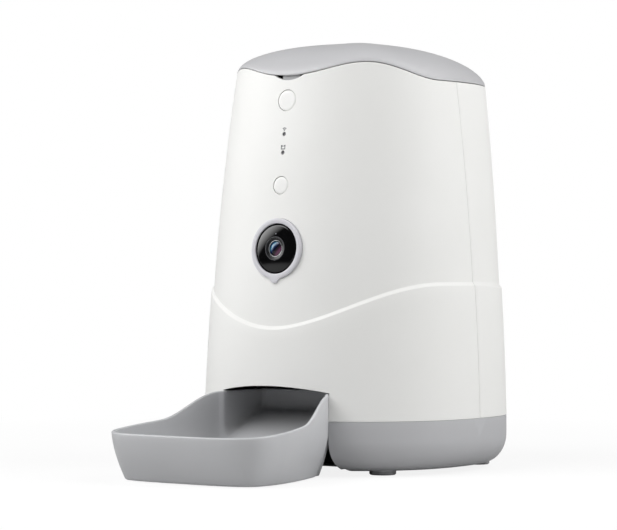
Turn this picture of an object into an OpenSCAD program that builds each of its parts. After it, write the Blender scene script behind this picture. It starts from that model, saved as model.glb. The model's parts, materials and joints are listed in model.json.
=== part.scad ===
// Automatic pet feeder with a camera: a white body in two halves on a grey base, a lift-off lid,
// a hopper over a motor-driven portion wheel, and a bowl that pulls out at the front.
// Millimetres. The front faces -Y, the floor is Z = 0, and the origin is the middle of the footprint.

/* [Body shape] */
// Top of the lid above the floor
total_h = 310; // [304:1:320]
// Height of the lowest measured section of the body
level_low = 40; // [38:1:42]
// Height of the middle measured section
level_mid = 150; // [145:1:155]
// Distance of the highest measured section below the top
top_drop = 35; // [30:1:40]
// Half width at the low section
half_w_low = 105.5; // [104:0.5:110]
// How much narrower each side is at the middle section
taper_mid = 4.5; // [3:0.5:6]
// How much narrower each side is at the top section
taper_top = 17; // [15:0.5:19]
// Depth from the body axis to the front at the low section
front_low = 105; // [104:0.5:110]
// How far the front leans back by the middle section
lean_mid = 7; // [5:0.5:9]
// How far the front leans back by the top section
lean_top = 21.3; // [20:0.1:23]
// Depth from the body axis to the upright rear wall
rear_depth = 93; // [92:0.5:98]
// How square the front half is in plan (2 is an ellipse)
front_square = 2.2; // [2:0.05:2.4]
// How square the rear half is in plan
rear_square = 2.45; // [2.2:0.05:2.7]
// Thickness of the body walls
wall = 2.6; // [2.2:0.1:3]

/* [Ledge and rim] */
// Height of the wave ledge at the front
ledge_front_z = 102; // [95:1:110]
// Height of the wave ledge at the sides
ledge_side_z = 133; // [125:1:140]
// Height of the wave ledge at the rear
ledge_rear_z = 131; // [125:1:140]
// Angle from the front at which the ledge has risen to its side height
ledge_span = 72; // [65:1:80]
// How far the ledge steps out
ledge_step = 1.65; // [1.2:0.05:2.2]
// Height of the ledge's sloped face
ledge_rise = 2.4; // [2:0.1:3]
// How much further the skirt below the ledge flares by its foot
skirt_flare = 1; // [0.5:0.1:1.5]
// Distance of the rim below the top, at the front
rim_front_drop = 28; // [26:0.5:30]
// Distance of the rim below the top, at its two front crests
rim_crest_drop = 19.6; // [17:0.2:22]
// Distance of the rim below the top, round the sides and rear
rim_side_drop = 31.4; // [29:0.2:32]
// Angle from the front of the crest
rim_crest_angle = 38; // [34:1:42]
// Angle from the front at which the wave ends
rim_side_angle = 79; // [74:1:84]
// Width of the finger notch in the front rim
notch_w = 24; // [20:1:28]
// Depth of the finger notch
notch_d = 3.2; // [2.6:0.1:3.8]

/* [Base] */
// Top of the grey base
base_top = 38.5; // [37:0.5:40]
// Thickness of the base floor and wall
base_wall = 2.6; // [2.2:0.1:3]
// Rounding of the lower edge
base_round = 22; // [19:0.5:24]
// How far that rounding draws in the rear wall
base_round_rear = 5; // [4:0.5:6]
// Height of the rubber feet
foot_h = 2.8; // [2.4:0.1:3.4]
// Radius of the rubber feet
foot_r = 9.5; // [8:0.5:10.5]
// Distance of the feet from the side of the body
foot_side = 42; // [40:0.5:42.5]
// Distance of the front feet from the front of the body
foot_front = 47.5; // [45:0.5:50]
// Distance of the rear feet from the rear of the body
foot_rear = 28; // [26:0.5:29.5]
// Radius of the screw posts of the two body halves
post_r = 5; // [4.5:0.1:5.5]
// Distance of the screw posts outside the deck's legs
post_side = 11; // [10.5:0.5:12.5]
// Distance of the screw posts in front of and behind the body axis
post_y = 34; // [30:1:36]
// Top of the screw posts
post_top = 62; // [55:1:70]

/* [Lid] */
// Thickness of the lid
lid_wall = 2.5; // [2:0.1:3]
// Parting gap between lid and rim
lid_gap = 0.5; // [0.4:0.1:0.8]
// How full the dome is (lower is fuller)
lid_dome = 0.58; // [0.5:0.01:0.65]
// Thickness of the liner plate
liner_t = 2; // [1.6:0.1:2.4]
// Depth of the liner's skirt
skirt_h = 11; // [9:0.5:12]
// Thickness of the liner's skirt
skirt_t = 2; // [1.6:0.1:2.4]
// Height of the sealing ring
seal_h = 3; // [2:0.1:4]
// Radius of the desiccant holder
holder_r = 32; // [28:0.5:36]
// Depth of the desiccant holder
holder_h = 16; // [14:0.5:20]
// Wall of the desiccant holder
holder_wall = 1.8; // [1.4:0.1:2.2]
// Height of the desiccant pack
pack_h = 9; // [7:0.5:11]

/* [Hopper and portion wheel] */
// Thickness of the hopper wall
hopper_wall = 2.2; // [1.8:0.1:2.6]
// Room between the body wall and the hopper mouth at the sides
mouth_side = 9; // [8:0.5:11]
// Room between the body wall and the hopper mouth at the front
mouth_front = 23; // [22:0.5:26]
// Thickness of the hopper flange
flange_t = 3; // [2.4:0.1:3.6]
// Distance of the wheel axis from the rear of the body
rotor_rear = 86; // [84:0.5:88]
// Radius of the portion wheel
rotor_r = 51.4; // [49:0.2:53]
// Height of the portion wheel
rotor_h = 28; // [26:0.5:30]
// Number of its vanes
vanes = 6; // [5:1:7]
// Thickness of its vanes
vane_t = 3; // [2.4:0.2:4]
// Radius of its hub
hub_r = 9; // [8:0.5:11]
// Underside of the deck that carries the wheel
deck_z = 116; // [114:0.5:120]
// Thickness of the deck
deck_t = 3; // [2.6:0.2:3.6]
// Half width of the deck
deck_half_w = 70; // [68:1:74]
// How far the deck runs in front of the body axis
deck_front = 40; // [38:1:42]
// Distance of the deck from the rear of the body
deck_rear_room = 27; // [25:0.5:30]
// Wall of the wheel housing
housing_wall = 2.5; // [2:0.1:3]
// Radius of the deck's legs
leg_r = 5; // [4.6:0.1:5.4]
// Distance of the legs beside the body axis
leg_x = 63; // [62:0.5:64.5]
// Distance of the front legs in front of the body axis
leg_front_y = 30; // [28:0.5:32]
// Distance of the rear legs from the rear of the body
leg_rear_room = 45; // [43:0.5:47]
// Inner radius of the food outlet in the deck
outlet_in = 20; // [19:0.5:22]
// Outer radius of the food outlet
outlet_out = 49; // [46:0.5:50]
// Half angle of the food outlet
outlet_angle = 32; // [28:1:34]
// Half angle of the guard over the outlet
guard_angle = 66; // [62:1:75]
// Thickness of the guard
guard_t = 2; // [1.6:0.1:2.4]
// Half width of the chute
chute_half_w = 40; // [38:0.5:41]
// Wall of the chute
chute_wall = 2; // [1.6:0.1:2.2]
// Distance of the chute's mouth behind the front of the body
chute_front_room = 17; // [16:0.5:20]

/* [Gear train] */
// Gear module
gear_module = 1; // [0.98:0.01:1.02]
// Teeth of the pinions
pinion_teeth = 14; // [14:1:15]
// Teeth of the wheels
wheel_teeth = 36; // [34:1:37]
// Face width of each gear stage
gear_w = 7; // [6:0.5:7.5]
// Play between meshing teeth
backlash = 0.25; // [0.2:0.05:0.35]
// Top of the gearbox below the deck
gearbox_drop = 11; // [10:0.5:13]
// Inside height of the gearbox
gearbox_room = 18.5; // [17.5:0.5:20]
// Wall of the gearbox
gearbox_wall = 2; // [1.8:0.1:2.4]
// Radius of the wheel shaft
rotor_shaft_r = 4; // [3.5:0.1:4.5]
// Radius of the idler pin
idler_pin_r = 2; // [1.6:0.1:2.2]
// Radius of the motor shaft
motor_shaft_r = 1.5; // [1.2:0.1:1.8]
// Radius of the motor
motor_r = 12; // [10:0.5:13]
// Length of the motor
motor_len = 30; // [26:0.5:31]

/* [Camera] */
// Distance of the lens axis below the middle of the front panel
lens_drop = 75.2; // [73:0.2:78]
// Outer radius of the bezel
bezel_r = 21.4; // [20.8:0.1:22.8]
// How far the bezel stands out of the wall
bezel_proud = 1.6; // [1.4:0.1:2.6]
// Radius of the black window
window_r = 18; // [17:0.1:18.6]
// Length of the small point under the bezel
point_len = 3.3; // [2.6:0.1:4]
// Half width of the small point
point_half_w = 4; // [3:0.2:5]
// Outer radius of the lens barrel
barrel_r = 8.5; // [8:0.1:9]
// Radius of the lens
lens_r = 6.3; // [5.6:0.1:6.6]
// Radius of the camera housing
camera_r = 15.2; // [14:0.1:15.6]
// Length of the camera housing
camera_len = 25; // [22:0.5:28]
// Side of the camera board
camera_board_w = 34; // [32:0.5:36]

/* [Front panel] */
// Distance of the middle of the panel below the top
panel_drop = 75.8; // [73:0.2:78]
// Distance between the two buttons
button_pitch = 61; // [58:0.5:64]
// Radius of the feed button
feed_r = 8; // [7:0.1:8.6]
// Radius of the pairing button
pair_r = 6.6; // [6:0.1:7.4]
// How far a button travels
button_travel = 1; // [0.6:0.1:1.2]
// Place of the upper indicator light above the panel's middle
light_up = 6.2; // [5:0.1:7]
// Place of the lower indicator light below the panel's middle
light_down = 7.1; // [6:0.1:8]
// Radius of an indicator light
light_r = 1.5; // [1.2:0.1:1.8]
// Distance of the control board behind the front face
board_back = 10.4; // [9.8:0.1:11]
// Half width of the control board
board_half_w = 17; // [16:0.5:18]
// Thickness of every circuit board
board_t = 1.6; // [1.2:0.1:2]

/* [Bowl] */
// Reach of the bowl in front of the body axis
bowl_reach = 216; // [206:1:226]
// Half width of the bowl
bowl_half_w = 68; // [63:0.5:72]
// Half width of its neck
neck_half_w = 46; // [45.5:0.1:46.5]
// Length of the rounded front end
bowl_tip = 40; // [35:1:45]
// Squareness of the front end
tip_square = 3.5; // [2.8:0.1:4]
// Distance of the neck's front end, where the sides fold, behind the front of the body
neck_room = 6; // [4:0.5:8]
// Where the bowl ends, in front of the body axis
bowl_rear = 52; // [51:0.5:54]
// Height of the rim at the front
bowl_rim_front = 33; // [30:0.5:36]
// Height of the rim at the neck
bowl_rim_neck = 57; // [55:0.2:57.2]
// Height of the ramp at the rear end
ramp_top = 44; // [42:0.5:45]
// Thickness of the bowl
bowl_wall = 2.4; // [2:0.1:2.8]
// How far the sides tuck in towards the bottom
bowl_tuck = 9.7; // [8:0.1:11]
// Clearance under the bowl
bowl_lift = 0.3; // [0.2:0.1:0.5]
// Where the ramp starts in front of the body axis
ramp_start = 150; // [145:1:155]

/* [Power and sound] */
// Radius of a battery cell
cell_r = 16.6; // [16:0.1:17.1]
// Length of a battery cell
cell_len = 61; // [59:0.5:62]
// Distance of the cells from the rear of the body
cell_room = 24; // [23:0.5:26]
// Wall of the battery tray
tray_wall = 1.8; // [1.5:0.1:2.2]
// Distance of the main board from the rear of the body
main_room = 13; // [12:0.5:15]
// Height of the power inlet above the floor
inlet_z = 24; // [20:0.5:27]
// Radius of the power inlet's nose
inlet_r = 5.5; // [5:0.1:6]
// Radius of the power inlet's socket
socket_r = 2.75; // [2.5:0.05:3]
// Radius of the speaker
speaker_r = 20; // [18:0.5:22]
// Depth of the speaker
speaker_h = 14; // [12:0.5:15]
// Height of the speaker's middle above the floor
speaker_z = 172; // [164:1:178]

/* [Screws] */
// Shank radius of every screw
screw_r = 1.5; // [1.3:0.1:1.7]
// Head radius of every screw
head_r = 3; // [2.6:0.1:3.4]
// Height of a screw head
head_h = 1.8; // [1.4:0.1:2.2]
// Length of the base screws
base_screw_len = 14; // [12:0.5:16]
// Length of the small screws
small_screw_len = 6; // [5:0.5:7]

/* [Fits] */
// Gap between fixed pieces that meet, and round a sliding piece
fit = 0.3; // [0.2:0.05:0.35]
// Gap round a turning shaft
running = 0.05; // [0.03:0.01:0.08]

/* [Hidden] */
$fn = 64;

white = "#f2f1ee";
grey = "#b4b6ba";
black = "#1c1c1e";
steel = "#b9bcc0";
board_green = "#2f6b48";

// Overlap of pieces that are joined
eps = 0.01;
// Overrun of a cut past the face that it opens
over = 1;
// Length of a cut that goes right through
through = 400;

// Places that follow the sizes above
level_top = total_h - top_drop;
half_w_mid = half_w_low - taper_mid;
half_w_top = half_w_low - taper_top;
front_mid = front_low - lean_mid;
front_top = front_low - lean_top;
rim_front_z = total_h - rim_front_drop;
rim_crest_z = total_h - rim_crest_drop;
rim_side_z = total_h - rim_side_drop;
panel_z = total_h - panel_drop;
lens_z = panel_z - lens_drop;
foot_x = half_w_low - foot_side;
foot_front_y = front_low - foot_front;
foot_rear_y = rear_depth - foot_rear;
post_x = leg_x + post_side;
rotor_y = rear_depth - rotor_rear;
deck_rear = rear_depth - deck_rear_room;
leg_rear_y = rear_depth - leg_rear_room;
neck_start = front_low - neck_room;
chute_front_y = front_low - chute_front_room;
cell_front = rear_depth - cell_room - cell_len;
main_y = rear_depth - main_room;
rear_reach = rear_depth + ledge_step + skirt_flare;
axis_y = (bowl_reach - rear_reach) / 2;

// Blending and body outline
function mix(a, b, t) = a + (b - a) * t;
function clamp01(t) = min(1, max(0, t));
function ease(t) = (1 - cos(180 * clamp01(t))) / 2;
function spow(v, e) = abs(v) < 1e-9 ? 0 : sign(v) * pow(abs(v), e);

// A curve through three values at the three measured levels
function through_levels(z, a, b, c) =
    a * (z - level_mid) * (z - level_top) / ((level_low - level_mid) * (level_low - level_top))
    + b * (z - level_low) * (z - level_top) / ((level_mid - level_low) * (level_mid - level_top))
    + c * (z - level_low) * (z - level_mid) / ((level_top - level_low) * (level_top - level_mid));
function half_w(z) = through_levels(z, half_w_low, half_w_mid, half_w_top);
function front_d(z) = through_levels(z, front_low, front_mid, front_top);
// How far the front face leans back at a height, in degrees
function lean(z) = atan((front_d(z - 1) - front_d(z + 1)) / 2);
// How far the skirt stands out of the upper body
function step_out(z) = ledge_step + skirt_flare * (ledge_side_z - z) / (ledge_side_z - base_top);

// Plan outline: half width a, front depth f and rear depth r at angle t, -90 being the front
function section(t, a, f, r) =
    let (n = sin(t) < 0 ? front_square : rear_square)
    [a * spow(cos(t), 2 / n), (sin(t) < 0 ? f : r) * spow(sin(t), 2 / n)];
function body_point(t, z, out) = concat(section(t, half_w(z) + out, front_d(z) + out, rear_depth + out), z);
// Half width of the body at a place y behind the axis
function side_x(y, z, out) =
    let (n = y < 0 ? front_square : rear_square, d = (y < 0 ? front_d(z) : rear_depth) + out)
    (half_w(z) + out) * pow(1 - pow(abs(y) / d, n), 1 / n);
// Depth of the rear wall at a place x beside the axis
function rear_y(x, z, out) =
    (rear_depth + out) * pow(1 - pow(abs(x) / (half_w(z) + out), rear_square), 1 / rear_square);

// Angle from the front, and the heights of the ledge and the rim there
function away(t) = let (d = abs(t + 90)) d > 180 ? 360 - d : d;
// How soon the wave starts to rise
ledge_bend = 0.85;
// Angle over which the ledge falls again to its rear height
ledge_rear_turn = 25;
function ledge_z(t) = let (p = away(t))
    p < ledge_span
        ? mix(ledge_front_z, ledge_side_z, ease(pow(p / ledge_span, ledge_bend)))
        : mix(ledge_side_z, ledge_rear_z, ease((p - 90) / ledge_rear_turn));
function rim_z(t) = let (p = away(t))
    p < rim_crest_angle
        ? mix(rim_front_z, rim_crest_z, ease(p / rim_crest_angle))
        : mix(rim_crest_z, rim_side_z, ease((p - rim_crest_angle) / (rim_side_angle - rim_crest_angle)));

// Skin building: rows of points, each row going round the part
function grid_faces(rows, cols, wrap_rows, wrap_cols) = [
    for (i = [0 : rows - (wrap_rows ? 1 : 2)], j = [0 : cols - (wrap_cols ? 1 : 2)])
    let (
        a = i * cols + j,
        b = i * cols + (j + 1) % cols,
        c = ((i + 1) % rows) * cols + (j + 1) % cols,
        d = ((i + 1) % rows) * cols + j
    )
    each [[a, c, b], [a, d, c]]
];
// A cap across a row that is symmetric about its first point
function ladder(n, start, flip) = [
    for (j = [0 : n / 2 - 1])
    let (a = start + j, b = start + j + 1, c = start + n - j - 1, d = start + (n - j) % n)
    each concat(
        b == c ? [] : [flip ? [a, c, b] : [a, b, c]],
        a == d ? [] : [flip ? [a, d, c] : [a, c, d]]
    )
];
// A closed skin: the first row is capped facing down, the last facing up
module capped_skin(rows) {
    n = len(rows[0]);
    faces = concat(
        grid_faces(len(rows), n, false, true),
        ladder(n, 0, false),
        ladder(n, (len(rows) - 1) * n, true)
    );
    polyhedron([for (row = rows) each row], faces, convexity = 6);
}
// A ring whose last row joins its first
module ring_skin(rows) {
    polyhedron([for (row = rows) each row], grid_faces(len(rows), len(rows[0]), true, true), convexity = 6);
}
// An open wall with flat ends: the second half of the rows is the inside, from the top down
module wall_skin(rows) {
    r = len(rows);
    n = len(rows[0]);
    ends = [
        for (i = [0 : r / 2 - 2])
        let (a = i * n, b = (i + 1) * n, c = (r - 2 - i) * n, d = (r - 1 - i) * n, e = n - 1)
        each [[b, a, d], [b, d, c], [a + e, b + e, c + e], [a + e, c + e, d + e]]
    ];
    polyhedron([for (row = rows) each row], concat(grid_faces(r, n, true, false), ends), convexity = 6);
}

body_cols = 72;
round_t = [for (j = [0 : body_cols - 1]) -90 + 360 * j / body_cols];

module place() {
    translate([0, axis_y, 0]) children();
}
// The frame of the front face at a height: local Z points out of the face, local Y up it
module on_front(z) {
    translate([0, -front_d(z), z]) rotate([90 - lean(z), 0, 0]) children();
}
module mirror_x() {
    children();
    mirror([1, 0, 0]) children();
}
module four_ways(x, y) {
    for (sx = [-1, 1], sy = [-1, 1]) translate([sx * x, sy * y, 0]) children();
}
// A profile in the YZ plane given a width along X
module across(width) {
    translate([-width / 2, 0, 0]) rotate([90, 0, 90]) linear_extrude(width) children();
}
module tube(outer, inner, h) {
    difference() {
        cylinder(r = outer, h = h);
        translate([0, 0, -over]) cylinder(r = inner, h = h + 2 * over);
    }
}
// A pan-head screw with its head below Z = 0 and its shank above
module screw(len) {
    translate([0, 0, -head_h]) cylinder(r = head_r, h = head_h);
    cylinder(r = screw_r, h = len);
}

// Base
base_under = foot_h;
floor_z = base_under + base_wall;
// The screw heads are sunk in the floor, and the posts and legs stand on raised seats over them
screw_seat_z = base_under + head_h + fit;
post_foot_z = screw_seat_z + base_wall;
// Clearance of the doorway beside the neck of the bowl, and the wider room for the dock behind the doorway
doorway_side = 0.8;
recess_side = 3.8;
recess_back = 4;
doorway_half_w = neck_half_w + doorway_side;
recess_half_w = neck_half_w + recess_side;
recess_rear = bowl_rear - recess_back;
recess_wall = base_wall;
base_edge_rows = 8;
// Height of the pads on which the feet sit under the rounded edge
pad_h = 4.6;
// Stem and chamfer of a rubber foot
foot_stem_r = 3;
foot_stem_h = 4.5;
foot_chamfer = 0.8;
// Clearance of a screw in a plain hole and in its thread
screw_play = 0.2;
thread_play = 0.05;
screw_hole_r = screw_r + screw_play;
pilot_r = screw_r + thread_play;

// One level of the base, moved in by an inset and drawn in by the rounding
function base_row(inset, drawn, z) = [
    for (t = round_t)
    concat(
        section(t,
            half_w(base_top) + step_out(base_top) - inset - drawn,
            front_d(base_top) + step_out(base_top) - inset - drawn,
            rear_reach - inset - drawn * base_round_rear / base_round),
        z)
];
// Lower edge rounded by a quarter circle
module base_solid(inset, under, top) {
    round_r = base_round - inset;
    capped_skin(concat(
        [
            for (i = [0 : base_edge_rows])
            let (a = 90 * i / base_edge_rows)
            base_row(inset, round_r * (1 - sin(a)), under + round_r * (1 - cos(a)))
        ],
        [base_row(inset, 0, top)]
    ));
}
module base_tray() color(grey) difference() {
    union() {
        base_solid(0, base_under, base_top);
        foot_places() translate([0, 0, base_under]) cylinder(r = foot_r, h = pad_h);
    }
    difference() {
        base_solid(base_wall, floor_z, base_top + base_wall);
        foot_places() cylinder(r = foot_r, h = base_under + pad_h);
        base_screw_places() cylinder(r = post_r, h = post_foot_z);
        translate([-recess_half_w - recess_wall, -through, 0])
            cube([2 * (recess_half_w + recess_wall), through - recess_rear + recess_wall, base_top]);
        translate([0, door_screw_y, 0]) cylinder(r = door_boss_r, h = floor_z + door_boss_h);
    }
    door_tongue(fit, tongue_t);
    translate([0, door_screw_y, 0]) cylinder(r = pilot_r, h = base_under + small_screw_len + over);
    translate([-doorway_half_w, -through, -over])
        cube([2 * doorway_half_w, through - recess_rear, base_top + 2 * over]);
    translate([-recess_half_w, -dock_front - dock_play, -over])
        cube([2 * recess_half_w, dock_front + dock_play - recess_rear, base_top + 2 * over]);
    foot_places() cylinder(r = foot_stem_r + running, h = base_under + pad_h + over);
    base_screw_places() {
        cylinder(r = screw_hole_r, h = post_foot_z + over);
        cylinder(r = head_r + fit, h = screw_seat_z);
    }
    battery_hole(door_half_w + fit, door_front - fit, door_rear + fit, floor_z + over);
    translate([0, rear_reach - 2 * base_wall, inlet_z]) rotate([-90, 0, 0])
        cylinder(r = inlet_r + fit, h = 3 * base_wall);
}
module foot_places() {
    mirror_x() translate([foot_x, -foot_front_y, 0]) children();
    mirror_x() translate([foot_x, foot_rear_y, 0]) children();
}
module rubber_feet() color("#6d6f72") foot_places() {
    rotate_extrude()
        polygon([[0, 0], [foot_r - foot_chamfer, 0], [foot_r, foot_chamfer], [foot_r, foot_h], [0, foot_h]]);
    translate([0, 0, foot_h - eps]) cylinder(r = foot_stem_r, h = foot_stem_h);
}
module leg_places() {
    mirror_x() translate([leg_x, -leg_front_y, 0]) children();
    mirror_x() translate([leg_x, leg_rear_y, 0]) children();
}
module base_screw_places() {
    four_ways(post_x, post_y) children();
    leg_places() children();
}
module base_screws() color(steel) translate([0, 0, screw_seat_z]) base_screw_places() screw(base_screw_len);

// Body halves
shell_cols = 40;
skirt_rows = 4;
upper_rows = 8;
shell_foot = base_top + fit;
shell_rows = skirt_rows + upper_rows + 2;
// Clearance of the arch over the bowl, and the rise of the arch
arch_gap = 1.3;
arch_rise = 4.2;
arch_side_z = bowl_rim_neck + arch_gap;
arch_top_z = arch_side_z + arch_rise;
arch_r = (pow(doorway_half_w, 2) + pow(arch_top_z - arch_side_z, 2)) / (2 * (arch_top_z - arch_side_z));

function shell_z(t, i) =
    i <= skirt_rows
        ? mix(shell_foot, ledge_z(t), i / skirt_rows)
        : mix(ledge_z(t) + ledge_rise, rim_z(t), (i - skirt_rows - 1) / upper_rows);
module half_shell(from) {
    turn = [for (j = [0 : shell_cols]) from + 180 * j / shell_cols];
    wall_skin(concat(
        [
            for (i = [0 : shell_rows - 1])
            [for (t = turn) let (z = shell_z(t, i)) body_point(t, z, i <= skirt_rows ? step_out(z) : 0)]
        ],
        [
            for (i = [shell_rows - 1 : -1 : 0])
            [for (t = turn) let (z = shell_z(t, i)) body_point(t, z, (i <= skirt_rows ? step_out(z) : 0) - wall)]
        ]
    ));
}
// A screw post with a rib to the wall, on the side of y
rib_t = 2.4;
rib_root = 1;
module shell_post(y) {
    mirror_x() translate([post_x, y, post_foot_z]) difference() {
        union() {
            cylinder(r = post_r, h = post_top - post_foot_z);
            translate([0, -rib_t / 2, shell_foot - post_foot_z + rib_root])
                cube([side_x(y, post_top, rib_root) - post_x, rib_t, post_top - shell_foot - rib_root]);
        }
        translate([0, 0, -over]) cylinder(r = pilot_r, h = base_screw_len + 2 * over);
    }
}
// Height of the control board above and below the panel's middle
board_up = 37;
board_down = 43;
// Distance of its screws from its edges
board_screw_inset = 4;
board_screw_x = board_half_w - board_screw_inset;
// Radius of the bosses that carry the boards, and how far they sink into the wall
boss_r = 3;
boss_root = 0.2;
module board_boss_places() {
    for (sx = [-1, 1], y = [board_up - board_screw_inset, -board_down + board_screw_inset])
        translate([sx * board_screw_x, y, 0]) children();
}
module panel_bosses() on_front(panel_z) board_boss_places() translate([0, 0, -board_back])
    tube(boss_r, pilot_r, board_back - wall + boss_root);
feed_y = button_pitch / 2;
light_places = [light_up, -light_down];
bezel_gap = 0.2;
bezel_hole_r = bezel_r + bezel_gap;
module front_shell() color(white) difference() {
    union() {
        translate([0, -fit / 2, 0]) half_shell(-180);
        shell_post(-post_y);
        panel_bosses();
    }
    intersection() {
        translate([-doorway_half_w, -through, 0])
            cube([2 * doorway_half_w, through - recess_rear, arch_top_z + over]);
        translate([0, 0, arch_top_z - arch_r]) rotate([90, 0, 0]) cylinder(r = arch_r, h = through, $fn = 256);
    }
    translate([0, 0, rim_front_z - notch_d + notch_r]) rotate([90, 0, 0]) cylinder(r = notch_r, h = through);
    on_front(lens_z) translate([0, 0, -bezel_r]) cylinder(r = bezel_hole_r, h = 2 * bezel_r);
    on_front(panel_z) translate([0, 0, -board_back]) {
        translate([0, feed_y, 0]) cylinder(r = feed_r + fit, h = 2 * board_back);
        translate([0, -feed_y, 0]) cylinder(r = pair_r + fit, h = 2 * board_back);
        for (y = light_places) translate([0, y, 0]) cylinder(r = light_r + running, h = 2 * board_back);
    }
}
notch_r = (pow(notch_w / 2, 2) + pow(notch_d, 2)) / (2 * notch_d);

// Half width, lower edge and upper edge of the main board
main_half_w = 40;
main_low = 52;
main_high = 112;
// Distance of its screws from its edges
main_screw_inset = 5;
main_screw_x = main_half_w - main_screw_inset;
module main_boss_places() {
    for (sx = [-1, 1], z = [main_low + main_screw_inset, main_high - main_screw_inset])
        translate([sx * main_screw_x, main_y, z]) rotate([-90, 0, 0]) children();
}
main_boss_len = rear_y(main_screw_x, main_high, ledge_step / 2) - main_y;
// Room in front of the speaker, and the ring that holds it
speaker_room = 1;
speaker_ring_t = 2;
speaker_ring_h = 5;
speaker_back = rear_y(speaker_r, speaker_z, -wall) - speaker_room;
speaker_ring_r = speaker_r + fit;
// Slots in front of the speaker
grille_slots = 5;
grille_pitch = 6;
grille_w = 2.4;
grille_inset = 4;
module grille() {
    for (i = [0 : grille_slots - 1])
    let (
        x = (i - (grille_slots - 1) / 2) * grille_pitch,
        h = sqrt(pow(speaker_r - grille_inset, 2) - pow(x, 2))
    )
    translate([x - grille_w / 2, speaker_back, speaker_z - h]) cube([grille_w, through, 2 * h]);
}
module rear_shell() color(white) difference() {
    union() {
        translate([0, fit / 2, 0]) half_shell(0);
        shell_post(post_y);
        main_boss_places() tube(boss_r, pilot_r, main_boss_len);
        translate([0, speaker_back - speaker_ring_h, speaker_z]) rotate([-90, 0, 0])
            tube(speaker_ring_r + speaker_ring_t, speaker_ring_r,
                rear_y(speaker_r + speaker_ring_t, speaker_z, -wall / 2) - speaker_back + speaker_ring_h);
    }
    grille();
}

// Lid
// Distance of the hopper's flange below the side rim
flange_drop = 1.6;
hopper_top = rim_side_z - flange_drop;
liner_z = hopper_top + fit;
// Rings of the dome, as shares of the distance from its middle to its edge
lid_rows = [1, 0.985, 0.95, 0.89, 0.8, 0.67, 0.5, 0.3, 0.1];
function lid_point(t, p, drop) =
    let (
        z0 = rim_z(t) + lid_gap,
        q = section(t, half_w(z0) - drop, front_d(z0) - drop, rear_depth - drop)
    )
    [q[0] * p, q[1] * p, z0 + (total_h - drop - z0) * pow(1 - p * p, lid_dome)];
// Finger tab: half width, depth below the rim, thickness, play behind the wall and root in the dome
tab_half_w = 9;
tab_drop = 4;
tab_t = 2;
tab_play = 1;
tab_root = 4;
module lid() color(grey) {
    capped_skin(concat(
        [for (i = [len(lid_rows) - 1 : -1 : 0]) [for (t = round_t) lid_point(t, lid_rows[i], lid_wall)]],
        [for (p = lid_rows) [for (t = round_t) lid_point(t, p, 0)]]
    ));
    // Finger tab behind the notch
    translate([-tab_half_w, -front_d(rim_front_z) + wall + tab_play, rim_front_z - tab_drop])
        cube([2 * tab_half_w, tab_t, tab_drop + lid_gap + tab_root]);
    lid_boss_places() difference() {
        cylinder(r = lid_boss_r, h = $dome_z + lid_boss_root - liner_z - liner_t);
        translate([0, 0, -over]) cylinder(r = pilot_r, h = small_screw_len + over);
    }
}
// Bosses that carry the liner under the dome
lid_boss_r = 3.2;
lid_boss_root = 1;
lid_boss_share = 0.6;
lid_boss_turn = 35;
module lid_boss_places() {
    for (t = [lid_boss_turn, -lid_boss_turn]) {
        p = lid_point(t, lid_boss_share, lid_wall);
        $dome_z = p[2];
        mirror_x() translate([p[0], p[1], liner_z + liner_t]) children();
    }
}
module lid_screws() color(steel) lid_boss_places() translate([0, 0, -liner_t]) screw(small_screw_len);
// The liner's outline clears the narrowest part of the rim on its way up
liner_gap = 0.6;
liner_inset = wall + liner_gap;
function liner_row(inset) = [
    for (t = round_t)
    section(t,
        half_w(rim_crest_z) - liner_inset - inset,
        front_d(rim_crest_z) - liner_inset - inset,
        rear_depth - liner_inset - inset)
];
function mouth_row(inset) = [
    for (t = round_t)
    section(t,
        half_w(level_top) - wall - mouth_side - inset,
        front_d(level_top) - wall - mouth_front - inset,
        rear_depth - wall - mouth_side - inset)
];
// Width of the sealing ring, and the room that the liner leaves round the finger tab
seal_w = 2.2;
skirt_inset = fit + seal_w;
tab_relief = 5;
tab_side = 1;
module lid_liner() color(white) translate([0, 0, liner_z]) {
    difference() {
        linear_extrude(liner_t) polygon(liner_row(0));
        translate([-tab_half_w - tab_side, -through, -over])
            cube([2 * (tab_half_w + tab_side), through - front_top + wall + tab_relief, liner_t + 2 * over]);
        translate([0, 0, -liner_z]) lid_boss_places() translate([0, 0, -liner_t - over])
            cylinder(r = screw_hole_r, h = liner_t + 2 * over);
    }
    translate([0, 0, -skirt_h]) linear_extrude(skirt_h) difference() {
        polygon(mouth_row(skirt_inset));
        polygon(mouth_row(skirt_inset + skirt_t));
    }
}
seal_drop = 4;
module lid_seal() color("#d8dadc") translate([0, 0, liner_z - seal_drop]) linear_extrude(seal_h) difference() {
    polygon(mouth_row(fit));
    polygon(mouth_row(skirt_inset));
}
// Slots in the floor of the desiccant holder
holder_slots = 10;
holder_slot_w = 2.4;
module desiccant_holder() color(white) translate([0, 0, liner_z - holder_h]) difference() {
    cylinder(r = holder_r, h = holder_h);
    translate([0, 0, holder_wall]) cylinder(r = holder_r - holder_wall, h = holder_h);
    for (i = [0 : holder_slots - 1]) rotate(360 * i / holder_slots)
        translate([holder_r / 3, -holder_slot_w / 2, -over])
            cube([holder_r / 2, holder_slot_w, holder_wall + 2 * over]);
}
module desiccant_pack() color("#e8e6da") translate([0, 0, liner_z - holder_h + holder_wall])
    cylinder(r = holder_r - holder_wall - fit, h = pack_h);

// Hopper, portion wheel and chute
// Running room round, under and over the wheel
wheel_round = 0.6;
wheel_under = 0.5;
wheel_over = 1.2;
housing_r = rotor_r + wheel_round;
deck_top = deck_z + deck_t;
rotor_low = deck_top + wheel_under;
guard_z = rotor_low + rotor_h + wheel_over;
housing_top = guard_z + guard_t + fit;
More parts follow.
